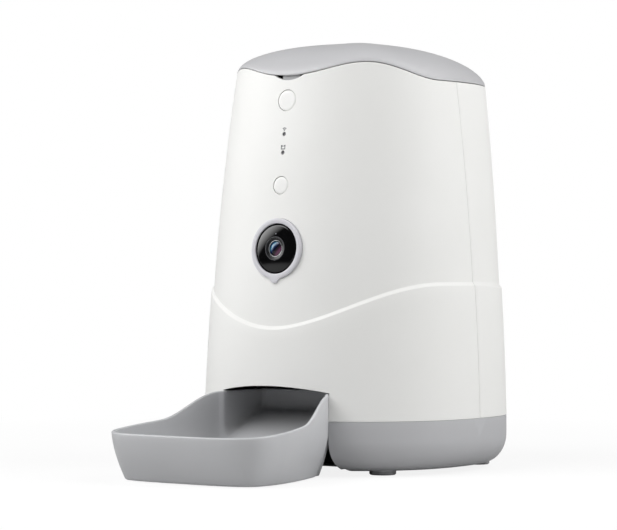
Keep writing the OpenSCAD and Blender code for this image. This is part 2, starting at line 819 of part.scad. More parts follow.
// Ledge that the guard lies on, its play, and its clearance round the shaft
guard_seat = 1;
guard_play = 0.1;
guard_hub = 8;
// How far the hopper's throat laps over the housing
throat_lap = 2;
throat_r = housing_r - throat_lap;
// Play of the hopper's flange in the body
flange_gap = fit + 0.1;
// How late the hopper turns from the body's outline into the round throat
hopper_turn = 1.6;
hopper_rows = 6;
hopper_cols = 48;
hopper_t = [for (j = [0 : hopper_cols - 1]) -90 + 360 * j / hopper_cols];
function hopper_ring(k, out) =
    let (s = pow(k, hopper_turn), z = mix(hopper_top - flange_t, housing_top, k))
    [
        for (t = hopper_t)
        let (
            m = section(t,
                half_w(level_top) - wall - mouth_side + out,
                front_d(level_top) - wall - mouth_front + out,
                rear_depth - wall - mouth_side + out),
            r = k < 1 ? throat_r + out : (out > 0 ? housing_r + housing_wall : throat_r),
            c = [r * cos(t), rotor_y + r * sin(t)]
        )
        concat(mix(m, c, s), z)
    ];
function flange_ring(out, z) = [
    for (t = hopper_t)
    concat(section(t,
        half_w(hopper_top) - wall - out,
        front_d(hopper_top) - wall - out,
        rear_depth - wall - out), z)
];
function mouth_ring(z) = [
    for (t = hopper_t)
    concat(section(t,
        half_w(level_top) - wall - mouth_side,
        front_d(level_top) - wall - mouth_front,
        rear_depth - wall - mouth_side), z)
];
module hopper() color("#e9eaec") ring_skin(concat(
    [for (i = [hopper_rows : -1 : 0]) hopper_ring(i / hopper_rows, hopper_wall)],
    [flange_ring(flange_gap, hopper_top - flange_t), flange_ring(flange_gap, hopper_top), mouth_ring(hopper_top)],
    [for (i = [0 : hopper_rows]) hopper_ring(i / hopper_rows, 0)]
));
// A ring sector about the wheel axis, centred on the front
module sector(inner, outer, half) {
    steps = 12;
    arc = [for (i = [0 : steps]) -90 - half + 2 * half * i / steps];
    polygon(concat(
        [for (a = arc) outer * [cos(a), sin(a)]],
        [for (i = [steps : -1 : 0]) inner * [cos(arc[i]), sin(arc[i])]]
    ));
}
// Wall, flange thickness and flange width of the shaft's bush
bush_wall = 2.5;
bush_flange = 1.5;
bush_lip = 2;
bush_r = rotor_shaft_r + bush_wall;
module rotor_housing() color("#d9dadd") difference() {
    union() {
        translate([-deck_half_w, -deck_front, deck_z]) cube([2 * deck_half_w, deck_front + deck_rear, deck_t]);
        translate([0, rotor_y, deck_z]) cylinder(r = housing_r + housing_wall, h = housing_top - deck_z);
        leg_places() translate([0, 0, post_foot_z]) cylinder(r = leg_r, h = deck_top - post_foot_z - eps);
    }
    translate([0, rotor_y, deck_top]) cylinder(r = housing_r, h = through);
    translate([0, rotor_y, guard_z]) cylinder(r = housing_r + guard_seat, h = through);
    translate([0, rotor_y, deck_z - over]) {
        linear_extrude(deck_t + 2 * over) sector(outlet_in, outlet_out, outlet_angle);
        cylinder(r = bush_r, h = deck_t + 2 * over);
    }
    leg_places() translate([0, 0, post_foot_z - over]) cylinder(r = pilot_r, h = base_screw_len + 2 * over);
}
module portion_guard() color("#c9cbce") translate([0, rotor_y, guard_z]) linear_extrude(guard_t)
    sector(rotor_shaft_r + guard_hub, housing_r + guard_seat - guard_play, guard_angle);
module shaft_bush() color("#b08d57") translate([0, rotor_y, deck_z - bush_flange]) difference() {
    union() {
        cylinder(r = bush_r, h = bush_flange + deck_t);
        cylinder(r = bush_r + bush_lip, h = bush_flange);
    }
    translate([0, 0, -over]) cylinder(r = rotor_shaft_r + running, h = bush_flange + deck_t + 2 * over);
}
// Cap of the hub over the shaft's end
hub_cap = 4;
module rotor() color("#5b6067") translate([0, rotor_y, rotor_low]) difference() {
    union() {
        cylinder(r = hub_r, h = rotor_h);
        for (i = [0 : vanes - 1]) rotate(-90 + 360 * (i + 0.5) / vanes)
            translate([0, -vane_t / 2, 0]) cube([rotor_r, vane_t, rotor_h]);
    }
    translate([0, 0, -over]) cylinder(r = rotor_shaft_r, h = rotor_h - hub_cap + over);
    difference() {
        translate([0, 0, -over]) cylinder(r = 2 * rotor_r, h = rotor_h + 2 * over);
        translate([0, 0, -2 * over]) cylinder(r = rotor_r - eps, h = rotor_h + 4 * over);
    }
}
gearbox_top = deck_z - gearbox_drop;
cover_z = gearbox_top - gearbox_wall;
case_floor_z = cover_z - gearbox_room;
case_z = case_floor_z - gearbox_wall;
module rotor_shaft() color(steel) translate([0, rotor_y, case_floor_z + fit])
    cylinder(r = rotor_shaft_r, h = rotor_low + rotor_h - hub_cap - case_floor_z - fit);

// The chute's mouth over the bowl: above the arch, in front of the bowl's rear end and over its rim
mouth_over_arch = 3.5;
mouth_before_rear = 2;
mouth_over_rim = 1.5;
// Room of the chute in front of the outlet, and the cuts that open its mouth
outlet_room = 2;
mouth_cut = 12;
chute_rear_y = bowl_rear + mouth_before_rear;
chute_low_z = bowl_rim_neck + mouth_over_rim;
chute_top_z = deck_z - fit;
module chute() color(black) {
    back = rotor_y - outlet_in;
    front = rotor_y - outlet_out - outlet_room;
    floor_lap = 1.2 * chute_wall;
    low = [-chute_rear_y, chute_low_z];
    high = [-chute_front_y, arch_top_z + mouth_over_arch];
    difference() {
        across(2 * (chute_half_w + chute_wall)) polygon([
            [back + floor_lap, chute_top_z], [front - floor_lap, chute_top_z],
            high - [floor_lap, 0], low + [floor_lap, 0]
        ]);
        across(2 * chute_half_w) polygon([
            [back, chute_top_z + over], [front, chute_top_z + over], [front, chute_top_z],
            high, high - [0, mouth_cut], low - [0, mouth_over_rim], low, [back, chute_top_z]
        ]);
    }
}

// Gear train in line behind the wheel axis
gear_mesh = gear_module * (pinion_teeth + wheel_teeth) / 2;
idler_y = rotor_y + gear_mesh;
motor_y = idler_y + gear_mesh;
// Pressure angle, and the height of a tooth above and below the pitch circle, in modules
pressure = 25;
tooth_up = 0.9;
tooth_down = 1.15;
flank_steps = 4;
// Room under each gear, and the hub and the pinion's extra width
gear_lift = 1;
gear_hub = 3;
pinion_more = 1.5;
stage_low = case_floor_z + gear_lift;
stage_high = stage_low + gear_w + gear_lift;
function involute(r, rb) = let (a = acos(min(1, rb / r))) tan(a) * 180 / PI - a;
function polar(r, a) = [r * cos(a), r * sin(a)];
// A spur gear outline with a tooth at angle 0
function gear_outline(n) =
    let (
        rp = gear_module * n / 2,
        rb = rp * cos(pressure),
        rr = rp - tooth_down * gear_module,
        r0 = max(rb, rr),
        r1 = rp + tooth_up * gear_module,
        half = (PI * gear_module / 2 - backlash) / (2 * rp) * 180 / PI + involute(rp, rb),
        flank = [for (s = [0 : flank_steps]) let (r = mix(r0, r1, s / flank_steps)) [r, half - involute(r, rb)]]
    )
    [
        for (k = [0 : n - 1]) let (a = 360 * k / n) each concat(
            [polar(rr, a - flank[0][1])],
            [for (p = flank) polar(p[0], a - p[1])],
            [for (s = [flank_steps : -1 : 0]) polar(flank[s][0], a + flank[s][1])],
            [polar(rr, a + flank[0][1])]
        )
    ];
module spur(n, h) {
    linear_extrude(h) polygon(gear_outline(n));
}
module output_gear() color("#e4dfd2") translate([0, rotor_y, stage_high]) difference() {
    union() {
        rotate(90) spur(wheel_teeth, gear_w);
        cylinder(r = rotor_shaft_r + gear_hub, h = gear_w + gear_lift);
    }
    translate([0, 0, -over]) cylinder(r = rotor_shaft_r, h = gear_w + gear_lift + 2 * over);
}
module idler_gear() color("#e4dfd2") translate([0, idler_y, stage_low]) difference() {
    union() {
        rotate(90) spur(wheel_teeth, gear_w);
        translate([0, 0, gear_w - eps]) rotate(270 - 180 / pinion_teeth) spur(pinion_teeth, gear_w + pinion_more);
    }
    translate([0, 0, -over]) cylinder(r = idler_pin_r + running, h = 2 * gear_w + pinion_more + 2 * over);
}
module idler_pin() color(steel) translate([0, idler_y, case_floor_z])
    cylinder(r = idler_pin_r, h = cover_z - case_floor_z);
module motor_pinion() color("#b08d57") translate([0, motor_y, stage_low]) difference() {
    rotate(270 - 180 / pinion_teeth) spur(pinion_teeth, gear_w);
    translate([0, 0, -over]) cylinder(r = motor_shaft_r, h = gear_w + 2 * over);
}
// Depth of the shaft in the motor
motor_seat = 10;
module motor_shaft() color(steel) translate([0, motor_y, case_z - motor_seat])
    cylinder(r = motor_shaft_r, h = stage_low + gear_w + gear_lift - case_z + motor_seat);
// Boss that centres the motor, and its play in the case floor
motor_boss_r = 3.5;
motor_boss_play = 0.4;
module gear_motor() color(steel) translate([0, motor_y, case_z]) difference() {
    union() {
        translate([0, 0, -motor_len]) cylinder(r = motor_r, h = motor_len);
        cylinder(r = motor_boss_r, h = gearbox_wall - motor_boss_play);
    }
    translate([0, 0, -motor_seat - over])
        cylinder(r = motor_shaft_r + running, h = motor_seat + gearbox_wall + 2 * over);
}
// Room round the gears, and the lugs that take the gearbox screws
gear_room = 1.5;
lug_inset = 4;
lug_h = 6;
lug_r = head_r + 1;
gear_reach = gear_module * (wheel_teeth / 2 + tooth_up) + gear_room;
case_half_w = gear_reach + gearbox_wall;
case_end_y = motor_y - case_half_w / 3;
lug_x = case_half_w + head_r + fit;
lug_y = [rotor_y + lug_inset, case_end_y - lug_inset];
module case_plan(half) {
    translate([-half, rotor_y]) square([2 * half, case_end_y - rotor_y]);
    translate([0, rotor_y]) circle(half);
    translate([0, case_end_y]) circle(half);
}
module lug_places() {
    for (y = lug_y) mirror_x() translate([lug_x, y, 0]) children();
}
module gearbox_case() color("#3a3c40") difference() {
    union() {
        translate([0, 0, case_z]) linear_extrude(cover_z - case_z) case_plan(case_half_w);
        lug_places() translate([0, 0, cover_z - lug_h]) cylinder(r = lug_r, h = lug_h);
    }
    translate([0, 0, case_floor_z]) linear_extrude(gearbox_room + over) case_plan(gear_reach);
    translate([0, motor_y, case_z - over]) cylinder(r = motor_boss_r + running, h = gearbox_wall + 2 * over);
    lug_places() translate([0, 0, cover_z - lug_h - over]) cylinder(r = screw_hole_r, h = lug_h + 2 * over);
}
module gearbox_cover() color("#3a3c40") difference() {
    union() {
        translate([0, 0, cover_z]) linear_extrude(gearbox_wall) case_plan(case_half_w);
        lug_places() translate([0, 0, cover_z]) cylinder(r = lug_r, h = deck_z - cover_z);
    }
    translate([0, rotor_y, cover_z - over]) cylinder(r = rotor_shaft_r + running, h = gearbox_wall + 2 * over);
    lug_places() translate([0, 0, cover_z - over]) cylinder(r = pilot_r, h = small_screw_len + 2 * over);
}
module gearbox_screws() color(steel) lug_places() translate([0, 0, cover_z - lug_h]) screw(lug_h + small_screw_len);

// Bowl and its dock
tip_start = bowl_reach - bowl_tip;
// Rounding of the rear corners, and the slight bow of the rear end
rear_corner = 6;
rear_bow = 1;
// Distance from the fold to the rim's drop, the drop's length, and the bend and the start height of its shoulder
rim_lead = 5;
rim_run = 46;
rim_sink = 1.3;
rim_shoulder = (bowl_rim_front + bowl_rim_neck) / 2;
// Floor over the bowl's underside
ramp_floor = 0.5;
// How the tuck of the sides fades upwards
tuck_fade = 1.6;
tip_steps = 9;
side_steps = 7;
neck_steps = 3;
corner_steps = 4;
rear_steps = 2;
// The sides run out almost straight from a fold at the neck
side_bend = 1.4;
function flow_w(y) = mix(bowl_half_w, neck_half_w, pow(clamp01((y + tip_start) / (tip_start - neck_start)), side_bend));
// Right half of the rim outline, from the front middle to the rear middle
bowl_half = concat(
    [
        for (i = [0 : tip_steps]) let (a = 90 * i / tip_steps)
        [bowl_half_w * spow(sin(a), 2 / tip_square), -tip_start - bowl_tip * spow(cos(a), 2 / tip_square)]
    ],
    [
        for (i = [1 : side_steps]) let (y = mix(-tip_start, -neck_start, i / side_steps))
        [flow_w(y), y]
    ],
    [for (i = [1 : neck_steps]) [neck_half_w, mix(-neck_start, -bowl_rear - rear_corner, i / neck_steps)]],
    [
        for (i = [1 : corner_steps]) let (a = 90 * i / corner_steps)
        [neck_half_w - rear_corner * (1 - cos(a)), -bowl_rear - rear_bow - (rear_corner - rear_bow) * (1 - sin(a))]
    ],
    [
        for (i = [1 : rear_steps]) let (k = 1 - i / rear_steps)
        [(neck_half_w - rear_corner) * k, -bowl_rear - rear_bow * k * k]
    ]
);
bowl_outline = concat(bowl_half, [for (i = [len(bowl_half) - 2 : -1 : 1]) [-bowl_half[i][0], bowl_half[i][1]]]);
bowl_n = len(bowl_outline);
function unit(v) = v / norm(v);
function outward(j) =
    let (d = unit(bowl_outline[(j + 1) % bowl_n] - bowl_outline[(j + bowl_n - 1) % bowl_n]))
    [d[1], -d[0]];
bowl_out = [for (j = [0 : bowl_n - 1]) outward(j)];
// The rim drops in an S in front of the fold, onto a shoulder that sinks slowly to the front
function bowl_rim_z(y) =
    let (left = clamp01((y + bowl_reach) / (bowl_reach - neck_start)))
    mix(bowl_rim_front, rim_shoulder, pow(left, rim_sink))
    + (bowl_rim_neck - rim_shoulder) * (1 - ease((-y - neck_start - rim_lead) / rim_run));
bowl_floor_z = bowl_wall + bowl_lift + ramp_floor;
function ramp_z(y) = max(bowl_floor_z,
    mix(bowl_floor_z, ramp_top, (y + ramp_start) / (ramp_start - bowl_rear)));
function tuck(z) = bowl_tuck * pow(max(0, 1 - z / bowl_rim_front), tuck_fade);
function bowl_level(z) = [for (j = [0 : bowl_n - 1]) concat(bowl_outline[j] - tuck(z) * bowl_out[j], z)];
function bowl_rim(inset, drop) = [
    for (j = [0 : bowl_n - 1]) let (p = bowl_outline[j]) concat(p - inset * bowl_out[j], bowl_rim_z(p[1]) - drop)
];
// Inside surface: share s of the way from the rim to the floor, with a fillet at the floor
function bowl_inside(s, extra) = [
    for (j = [0 : bowl_n - 1])
    let (
        p = bowl_outline[j],
        z = mix(bowl_rim_z(p[1]), ramp_z(p[1]), s),
        q = p - (bowl_wall + tuck(z) + extra) * bowl_out[j]
    )
    concat(q, mix(bowl_rim_z(p[1]), ramp_z(q[1]), s))
];
// Hollow under the ramp, and the neck's open underside a little behind the fold
hollow_lead = 14;
open_behind = 2;
hollow_half_w = neck_half_w - bowl_tuck - bowl_wall;
hollow_front = ramp_start - hollow_lead;
open_front = neck_start - open_behind;
// The space under the ramp from one place to another
module under_ramp(front, rear, width) {
    across(width) polygon([
        [-front, -over], [-rear, -over], [-rear, ramp_z(-rear) - bowl_wall], [-front, ramp_z(-front) - bowl_wall]
    ]);
}
module bowl() color("#a9acb1") difference() {
    capped_skin(concat(
        [for (z = [bowl_lift, 2, 6, 12, 20, 28]) bowl_level(z)],
        [bowl_rim(0, 0.6), bowl_rim(0.6, 0), bowl_rim(bowl_wall - 0.5, 0)],
        [bowl_inside(0.15, 0), bowl_inside(0.5, 0), bowl_inside(0.85, 0.5), bowl_inside(1, 3)]
    ));
    under_ramp(hollow_front, open_front - over, 2 * hollow_half_w);
    under_ramp(open_front, bowl_rear - over, 2 * (neck_half_w + over));
}
// The dock's wall, its play in the recess, its distance behind the body's front, and its height over the floor
dock_wall = 1.6;
dock_play = 0.2;
dock_front_room = 21;
dock_over_foot = 2;
dock_drop = 2;
dock_side = recess_half_w - dock_play;
dock_front = front_low - dock_front_room;
dock_under = foot_h + dock_over_foot;
dock_rear = recess_rear + dock_play;
// Height of the guide rails, their drop below the top of the ramp, and their gap to the bowl
rail_h = 4;
rail_drop = 5;
rail_gap = fit + 0.1;
module bowl_dock() color(black) {
    translate([0, 0, dock_under]) linear_extrude(arch_side_z - dock_drop - dock_under) difference() {
        translate([-dock_side, -dock_front]) square([2 * dock_side, dock_front - dock_rear]);
        translate([-dock_side + dock_wall, -dock_front - over])
            square([2 * (dock_side - dock_wall), dock_front + over - dock_rear - dock_wall]);
    }
    // Guide rails beside the neck of the bowl
    mirror_x() translate([neck_half_w + rail_gap, -dock_front, ramp_top - rail_drop])
        cube([dock_side - neck_half_w - rail_gap - eps, dock_front - dock_rear - eps, rail_h]);
}

// Front panel: local Z points out of the face
// Face of a button behind the wall's face, and the gap, width and thickness of its flange
button_top = -0.25;
button_gap = 0.5;
flange_back = wall + button_gap;
flange_step = 1.2;
button_flange_t = 0.8;
// Radius and length of the stem behind a button
stem_r = 2.5;
stem_len = 0.6;
module button(r) {
    translate([0, 0, -flange_back]) cylinder(r = r, h = flange_back + button_top);
    translate([0, 0, -flange_back - button_flange_t]) cylinder(r = r + flange_step, h = button_flange_t);
    translate([0, 0, -flange_back - button_flange_t - stem_len]) cylinder(r = stem_r, h = stem_len + eps);
}
module feed_button() color(white) on_front(panel_z) translate([0, feed_y, 0]) button(feed_r);
module pairing_button() color(white) on_front(panel_z) translate([0, -feed_y, 0]) button(pair_r);
// A switch: side, plunger radius and height, and the room left at the end of a press
switch_w = 6;
plunger_r = 1.6;
plunger_h = 0.5;
press_room = 0.3;
switch_h = board_back - flange_back - button_flange_t - stem_len - button_travel - plunger_h - press_room;
module button_switches() color("#2a2a2c") on_front(panel_z) for (s = [-1, 1])
    translate([0, s * feed_y, -board_back]) {
        translate([-switch_w / 2, -switch_w / 2, 0]) cube([switch_w, switch_w, switch_h]);
        translate([0, 0, switch_h - eps]) cylinder(r = plunger_r, h = plunger_h);
    }
// A light chip: length, width and height, and the gaps at the two ends of its light pipe
chip_len = 3;
chip_w = 2;
chip_h = 1;
pipe_gap = 0.2;
pipe_sink = 0.1;
module control_board() color(board_green) on_front(panel_z) difference() {
    union() {
        translate([-board_half_w, -board_down, -board_back - board_t])
            cube([2 * board_half_w, board_up + board_down, board_t]);
        for (y = light_places) translate([-chip_len / 2, y - chip_w / 2, -board_back - eps])
            cube([chip_len, chip_w, chip_h]);
    }
    board_boss_places() translate([0, 0, -board_back - board_t - over])
        cylinder(r = screw_hole_r, h = board_t + 2 * over);
}
module board_screws() color(steel) {
    on_front(panel_z) board_boss_places() translate([0, 0, -board_back - board_t]) screw(small_screw_len);
    main_boss_places() translate([0, 0, -board_t]) screw(small_screw_len);
}
module light_pipes() color("#e7ebef") on_front(panel_z) for (y = light_places)
    translate([0, y, -board_back + chip_h + pipe_gap])
        cylinder(r = light_r, h = board_back - chip_h - pipe_gap - pipe_sink);

// Camera: local Z points out of the face
// Depth of the window's seat in the bezel, and the bezel's flange behind the wall
seat_depth = 3.4;
bezel_flange_gap = 2.5;
bezel_flange_w = 3;
bezel_flange_t = 1.8;
// Outer and inner chamfer of the bezel, and the play of the window in it
bezel_chamfer = 0.8;
bezel_edge = 0.7;
window_play = 0.1;
// Height of the point's underside over the wall, and how far it sinks into the ring
point_lift = 0.4;
point_sink = 0.6;
seat_z = bezel_proud - seat_depth;
ledge_r = camera_r + fit;
bezel_back = wall + bezel_flange_gap;
module camera_bezel() color("#cfd0d4") on_front(lens_z) {
    rotate_extrude() polygon([
        [ledge_r, -bezel_back - bezel_flange_t], [bezel_r + bezel_flange_w, -bezel_back - bezel_flange_t],
        [bezel_r + bezel_flange_w, -bezel_back], [bezel_r, -bezel_back],
        [bezel_r, bezel_proud - bezel_chamfer], [bezel_r - bezel_chamfer, bezel_proud],
        [window_r + window_play + bezel_edge, bezel_proud], [window_r + window_play, bezel_proud - bezel_edge],
        [window_r + window_play, seat_z], [ledge_r, seat_z]
    ]);
    translate([0, 0, point_lift]) linear_extrude(bezel_proud - bezel_chamfer) polygon([
        [-point_half_w, -bezel_r + point_sink], [0, -bezel_r - point_len], [point_half_w, -bezel_r + point_sink]
    ]);
}
// Edge of the window below the bezel's face, and the rise of its dome
window_edge = 1.4;
window_dome = 1.1;
module camera_window() color(black) on_front(lens_z) rotate_extrude() polygon(concat(
    [[barrel_r + window_play, seat_z], [window_r, seat_z]],
    [
        for (i = [0 : 6]) let (r = mix(window_r, barrel_r + window_play, i / 6))
        [r, bezel_proud - window_edge + window_dome * (1 - pow(r / window_r, 2))]
    ]
));
// Front of the barrel below the bezel's face, its length behind the wall's face, and its chamfers
barrel_drop = 1;
barrel_back = 10;
barrel_edge = 0.5;
barrel_lip = 1.2;
barrel_lip_drop = 0.3;
barrel_dish = 2;
barrel_front = bezel_proud - barrel_drop;
module lens_barrel() color("#2b2c30") on_front(lens_z) rotate_extrude() polygon([
    [lens_r + window_play, -barrel_back], [barrel_r, -barrel_back], [barrel_r, barrel_front - barrel_edge],
    [barrel_r - barrel_edge, barrel_front], [lens_r + barrel_lip, barrel_front - barrel_lip_drop],
    [lens_r + window_play, barrel_front - barrel_dish]
]);
// Crown of the lens, its rim below the bezel's face, and the thickness at its rim
lens_crown = 2.2;
lens_sink = 4.6;
lens_edge_t = 3;
lens_edge_z = bezel_proud - lens_sink;
module lens_glass() color("#16181f") on_front(lens_z) rotate_extrude() polygon(concat(
    [[0, lens_edge_z - lens_edge_t], [lens_r, lens_edge_z - lens_edge_t]],
    [for (i = [0 : 8]) let (r = lens_r * (1 - i / 8)) [r, lens_edge_z + lens_crown * (1 - pow(r / lens_r, 2))]]
));
camera_front = seat_z - window_play;
camera_back = camera_len - camera_front;
module camera_housing() color(black) on_front(lens_z) difference() {
    translate([0, 0, -camera_back]) cylinder(r = camera_r, h = camera_len);
    translate([0, 0, -barrel_back - window_play]) cylinder(r = barrel_r + window_play, h = camera_len);
}
module camera_board() color(board_green) on_front(lens_z)
    translate([-camera_board_w / 2, -camera_board_w / 2, -camera_back - board_t])
        cube([camera_board_w, camera_board_w, board_t]);
// Flat ribbon from the back of the camera board up to the back of the control board
ribbon_t = 0.4;
ribbon_w = 12;
// Its landing on each board, and how far it swings past the boards' edges
ribbon_low = 4;
ribbon_high = 12;
ribbon_swing = 3;
function front_point(z, up, out) =
    [-front_d(z) + up * sin(lean(z)) - out * cos(lean(z)), z + up * cos(lean(z)) + out * sin(lean(z))];
module camera_ribbon() color("#c98a3c") across(ribbon_w) {
    path = [
        front_point(lens_z, ribbon_low, -camera_back - board_t),
        front_point(lens_z, camera_board_w / 2 + ribbon_swing, -camera_back - board_t - ribbon_swing / 3),
        front_point(panel_z, -board_down - ribbon_swing, -board_back - board_t - ribbon_swing / 3),
        front_point(panel_z, -board_down + ribbon_high, -board_back - board_t)
    ];
    polygon(concat(path, [for (i = [len(path) - 1 : -1 : 0]) path[i] + [ribbon_t, 0]]));
}

// Electronics at the rear
// The larger components: place beside the middle, place over the lower edge, width and height
main_chips = [[-22, 20, 14, 12], [6, 30, 18, 18], [-14, 42, 10, 8], [14, 8, 12, 9]];
main_chip_t = 2.5;
module main_board() color(board_green) difference() {
    union() {
        translate([-main_half_w, main_y - board_t, main_low]) cube([2 * main_half_w, board_t, main_high - main_low]);
        for (p = main_chips)
            translate([p[0], main_y - board_t - main_chip_t, main_low + p[1]]) cube([p[2], main_chip_t + eps, p[3]]);
    }
    main_boss_places() translate([0, 0, -board_t - over]) cylinder(r = screw_hole_r, h = board_t + 2 * over);
}
// The speaker's frame, cone and magnet
speaker_frame = 4;
speaker_cone = 4;
speaker_lip = 1;
magnet_r = 11;
module speaker() color("#3b3d41") translate([0, speaker_back, speaker_z]) rotate([90, 0, 0]) {
    cylinder(r = speaker_r, h = speaker_frame);
    translate([0, 0, speaker_frame - eps]) cylinder(r1 = speaker_r - speaker_lip, r2 = magnet_r, h = speaker_cone);
    translate([0, 0, speaker_frame + speaker_cone - 2 * eps])
        cylinder(r = magnet_r, h = speaker_h - speaker_frame - speaker_cone);
}
// The power inlet: length of its block, its sink in the wall, its shoulder, its socket's depth and its pin
inlet_len = 14;
inlet_sink = 0.3;
inlet_shoulder = 1;
socket_depth = 9;
pin_r = 1;
pin_sink = 0.8;
module dc_inlet() color(black) translate([0, rear_reach - inlet_sink, inlet_z]) rotate([90, 0, 0]) {
    difference() {
        union() {
            cylinder(r = inlet_r, h = base_wall + inlet_shoulder);
            translate([-inlet_r - inlet_shoulder, -inlet_r, base_wall])
                cube([2 * (inlet_r + inlet_shoulder), 2 * inlet_r, inlet_len]);
        }
        translate([0, 0, -over]) cylinder(r = socket_r, h = socket_depth + over);
    }
    translate([0, 0, pin_sink]) cylinder(r = pin_r, h = socket_depth);
}

// Batteries under the floor of the gearbox
// Gap between the cells, over the floor and over the cells
cell_gap = 1;
cell_under = 1;
cell_over = 2;
cell_pitch = 2 * cell_r + cell_gap;
cell_z = floor_z + cell_under + cell_r;
// A cell's button: height and radius
cell_nib_h = 1.6;
cell_nib_r = 4.6;
// The contact springs: thickness, width and room between them and a cell
contact_t = 1;
contact_w = 16;
contact_room = 0.6;
tray_half_w = 1.5 * cell_pitch + tray_wall;
tray_front = cell_front - contact_t - contact_room - tray_wall;
tray_rear = cell_front + cell_len + contact_t + contact_room + tray_wall;
tray_h = 2 * cell_r + cell_under + cell_over;
door_half_w = tray_half_w - tray_wall;
door_front = tray_front + tray_wall;
door_rear = tray_rear - tray_wall;
module battery_hole(half, front, rear, top) {
    translate([-half, front, -over]) cube([2 * half, rear - front, top + over]);
}
module battery_tray() color("#4a4c50") translate([0, 0, floor_z]) difference() {
    translate([-tray_half_w, tray_front, 0]) cube([2 * tray_half_w, tray_rear - tray_front, tray_h]);
    translate([-door_half_w, door_front, -over])
        cube([2 * door_half_w, door_rear - door_front, tray_h - tray_wall + over]);
}
module batteries() color("#8d8f3a") for (i = [-1 : 1])
    translate([i * cell_pitch, cell_front, cell_z]) rotate([-90, 0, 0]) {
        cylinder(r = cell_r, h = cell_len - cell_nib_h);
        translate([0, 0, cell_len - cell_nib_h - eps]) cylinder(r = cell_nib_r, h = cell_nib_h);
    }
module battery_contacts() color(steel) for (i = [-1 : 1], y = [door_front, door_rear - contact_t])
    translate([i * cell_pitch - contact_w / 2, y, cell_z - contact_w / 2]) cube([contact_w, contact_t, contact_w]);
// A tongue at the front of the door takes its screw, which bites in a boss of the base
tongue_half_w = 8;
tongue_len = 10;
tongue_t = base_wall / 2;
door_screw_y = tray_front - tongue_len / 2;
door_boss_r = 4;
door_boss_h = 5;
door_sink = 0.6;
module door_tongue(gap, t) {
    translate([-tongue_half_w - gap, tray_front - tongue_len - gap, base_under - gap])
        cube([2 * (tongue_half_w + gap), tongue_len + tray_wall + 2 * gap, t + gap]);
}
module battery_door() color(grey) difference() {
    union() {
        translate([-door_half_w, door_front, base_under])
            cube([2 * door_half_w, door_rear - door_front, base_wall - door_sink]);
        door_tongue(0, tongue_t);
    }
    translate([0, door_screw_y, base_under - over]) cylinder(r = screw_hole_r, h = base_wall + 2 * over);
}
module battery_door_screw() color(steel) translate([0, door_screw_y, base_under]) screw(small_screw_len);

place() base_tray();
place() rubber_feet();
place() front_shell();
place() rear_shell();
place() base_screws();
place() lid();
place() lid_liner();
place() lid_screws();
place() lid_seal();
place() desiccant_holder();
place() desiccant_pack();
place() hopper();
place() rotor_housing();
place() portion_guard();
place() rotor();
place() rotor_shaft();
place() shaft_bush();
place() output_gear();
place() idler_gear();
place() idler_pin();
place() motor_pinion();
place() motor_shaft();
place() gear_motor();
place() gearbox_case();
place() gearbox_cover();
place() gearbox_screws();
place() chute();
place() bowl_dock();
place() bowl();
place() feed_button();
place() pairing_button();
place() button_switches();
place() control_board();
place() board_screws();
place() light_pipes();
place() camera_bezel();
place() camera_window();
place() lens_barrel();
place() lens_glass();
place() camera_housing();
place() camera_board();
place() camera_ribbon();
place() main_board();
place() speaker();
place() dc_inlet();
place() battery_tray();
place() batteries();
place() battery_contacts();
place() battery_door();
place() battery_door_screw();
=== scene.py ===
# %% [markdown]
# # An automatic pet feeder, dressed for the camera
#
# A tall white body in two halves stands on a grey base, with a grey lid, a camera in its front wall and a
# scoop-shaped bowl that pulls out below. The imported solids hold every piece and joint. This lesson gives them
# finishes and builds the visible mouldings again with finer surfaces.

# %% Load the frame
import json
from math import asin, atan, copysign, cos, degrees, exp, hypot, pi, prod, radians, sin, sqrt

import bpy
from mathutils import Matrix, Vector

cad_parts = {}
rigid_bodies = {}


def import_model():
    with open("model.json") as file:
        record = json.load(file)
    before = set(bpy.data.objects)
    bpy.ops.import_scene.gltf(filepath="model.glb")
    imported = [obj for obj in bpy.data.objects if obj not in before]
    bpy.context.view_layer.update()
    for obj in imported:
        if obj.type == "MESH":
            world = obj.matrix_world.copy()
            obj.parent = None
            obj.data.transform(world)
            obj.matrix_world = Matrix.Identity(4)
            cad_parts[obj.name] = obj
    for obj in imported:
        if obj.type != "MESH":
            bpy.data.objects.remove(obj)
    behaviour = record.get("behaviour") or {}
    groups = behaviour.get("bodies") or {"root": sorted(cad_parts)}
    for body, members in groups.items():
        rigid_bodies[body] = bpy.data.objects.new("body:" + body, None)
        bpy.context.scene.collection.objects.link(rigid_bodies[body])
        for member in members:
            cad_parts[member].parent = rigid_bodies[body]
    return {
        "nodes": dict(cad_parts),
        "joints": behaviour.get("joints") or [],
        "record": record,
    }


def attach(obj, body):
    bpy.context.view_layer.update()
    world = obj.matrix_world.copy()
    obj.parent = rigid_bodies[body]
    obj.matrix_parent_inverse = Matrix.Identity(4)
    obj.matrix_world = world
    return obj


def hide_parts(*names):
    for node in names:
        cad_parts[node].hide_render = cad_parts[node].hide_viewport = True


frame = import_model()
scene = bpy.context.scene
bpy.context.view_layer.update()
nodes = frame["nodes"]

# %% [markdown]
# ## Places and sizes
#
# Sizes are in millimetres from the body's upright axis, with the front at -Y and the floor at zero. The
# wheel's joint, 7 mm behind that axis, tells where the axis stands in the frame.

# %% Millimetres from the body axis
MM = 0.001
WHEEL_BEHIND_AXIS = 7
wheel = next(j for j in frame["joints"] if j["name"] == "wheel_spin")
AXIS_Y = wheel["pos_m"][1] / MM - WHEEL_BEHIND_AXIS


def place(x, y, z):
    """A point given in millimetres from the body axis, in the frame's metres."""
    return Vector((x, y + AXIS_Y, z)) * MM


print("body axis stands at y =", round(AXIS_Y, 2), "mm")

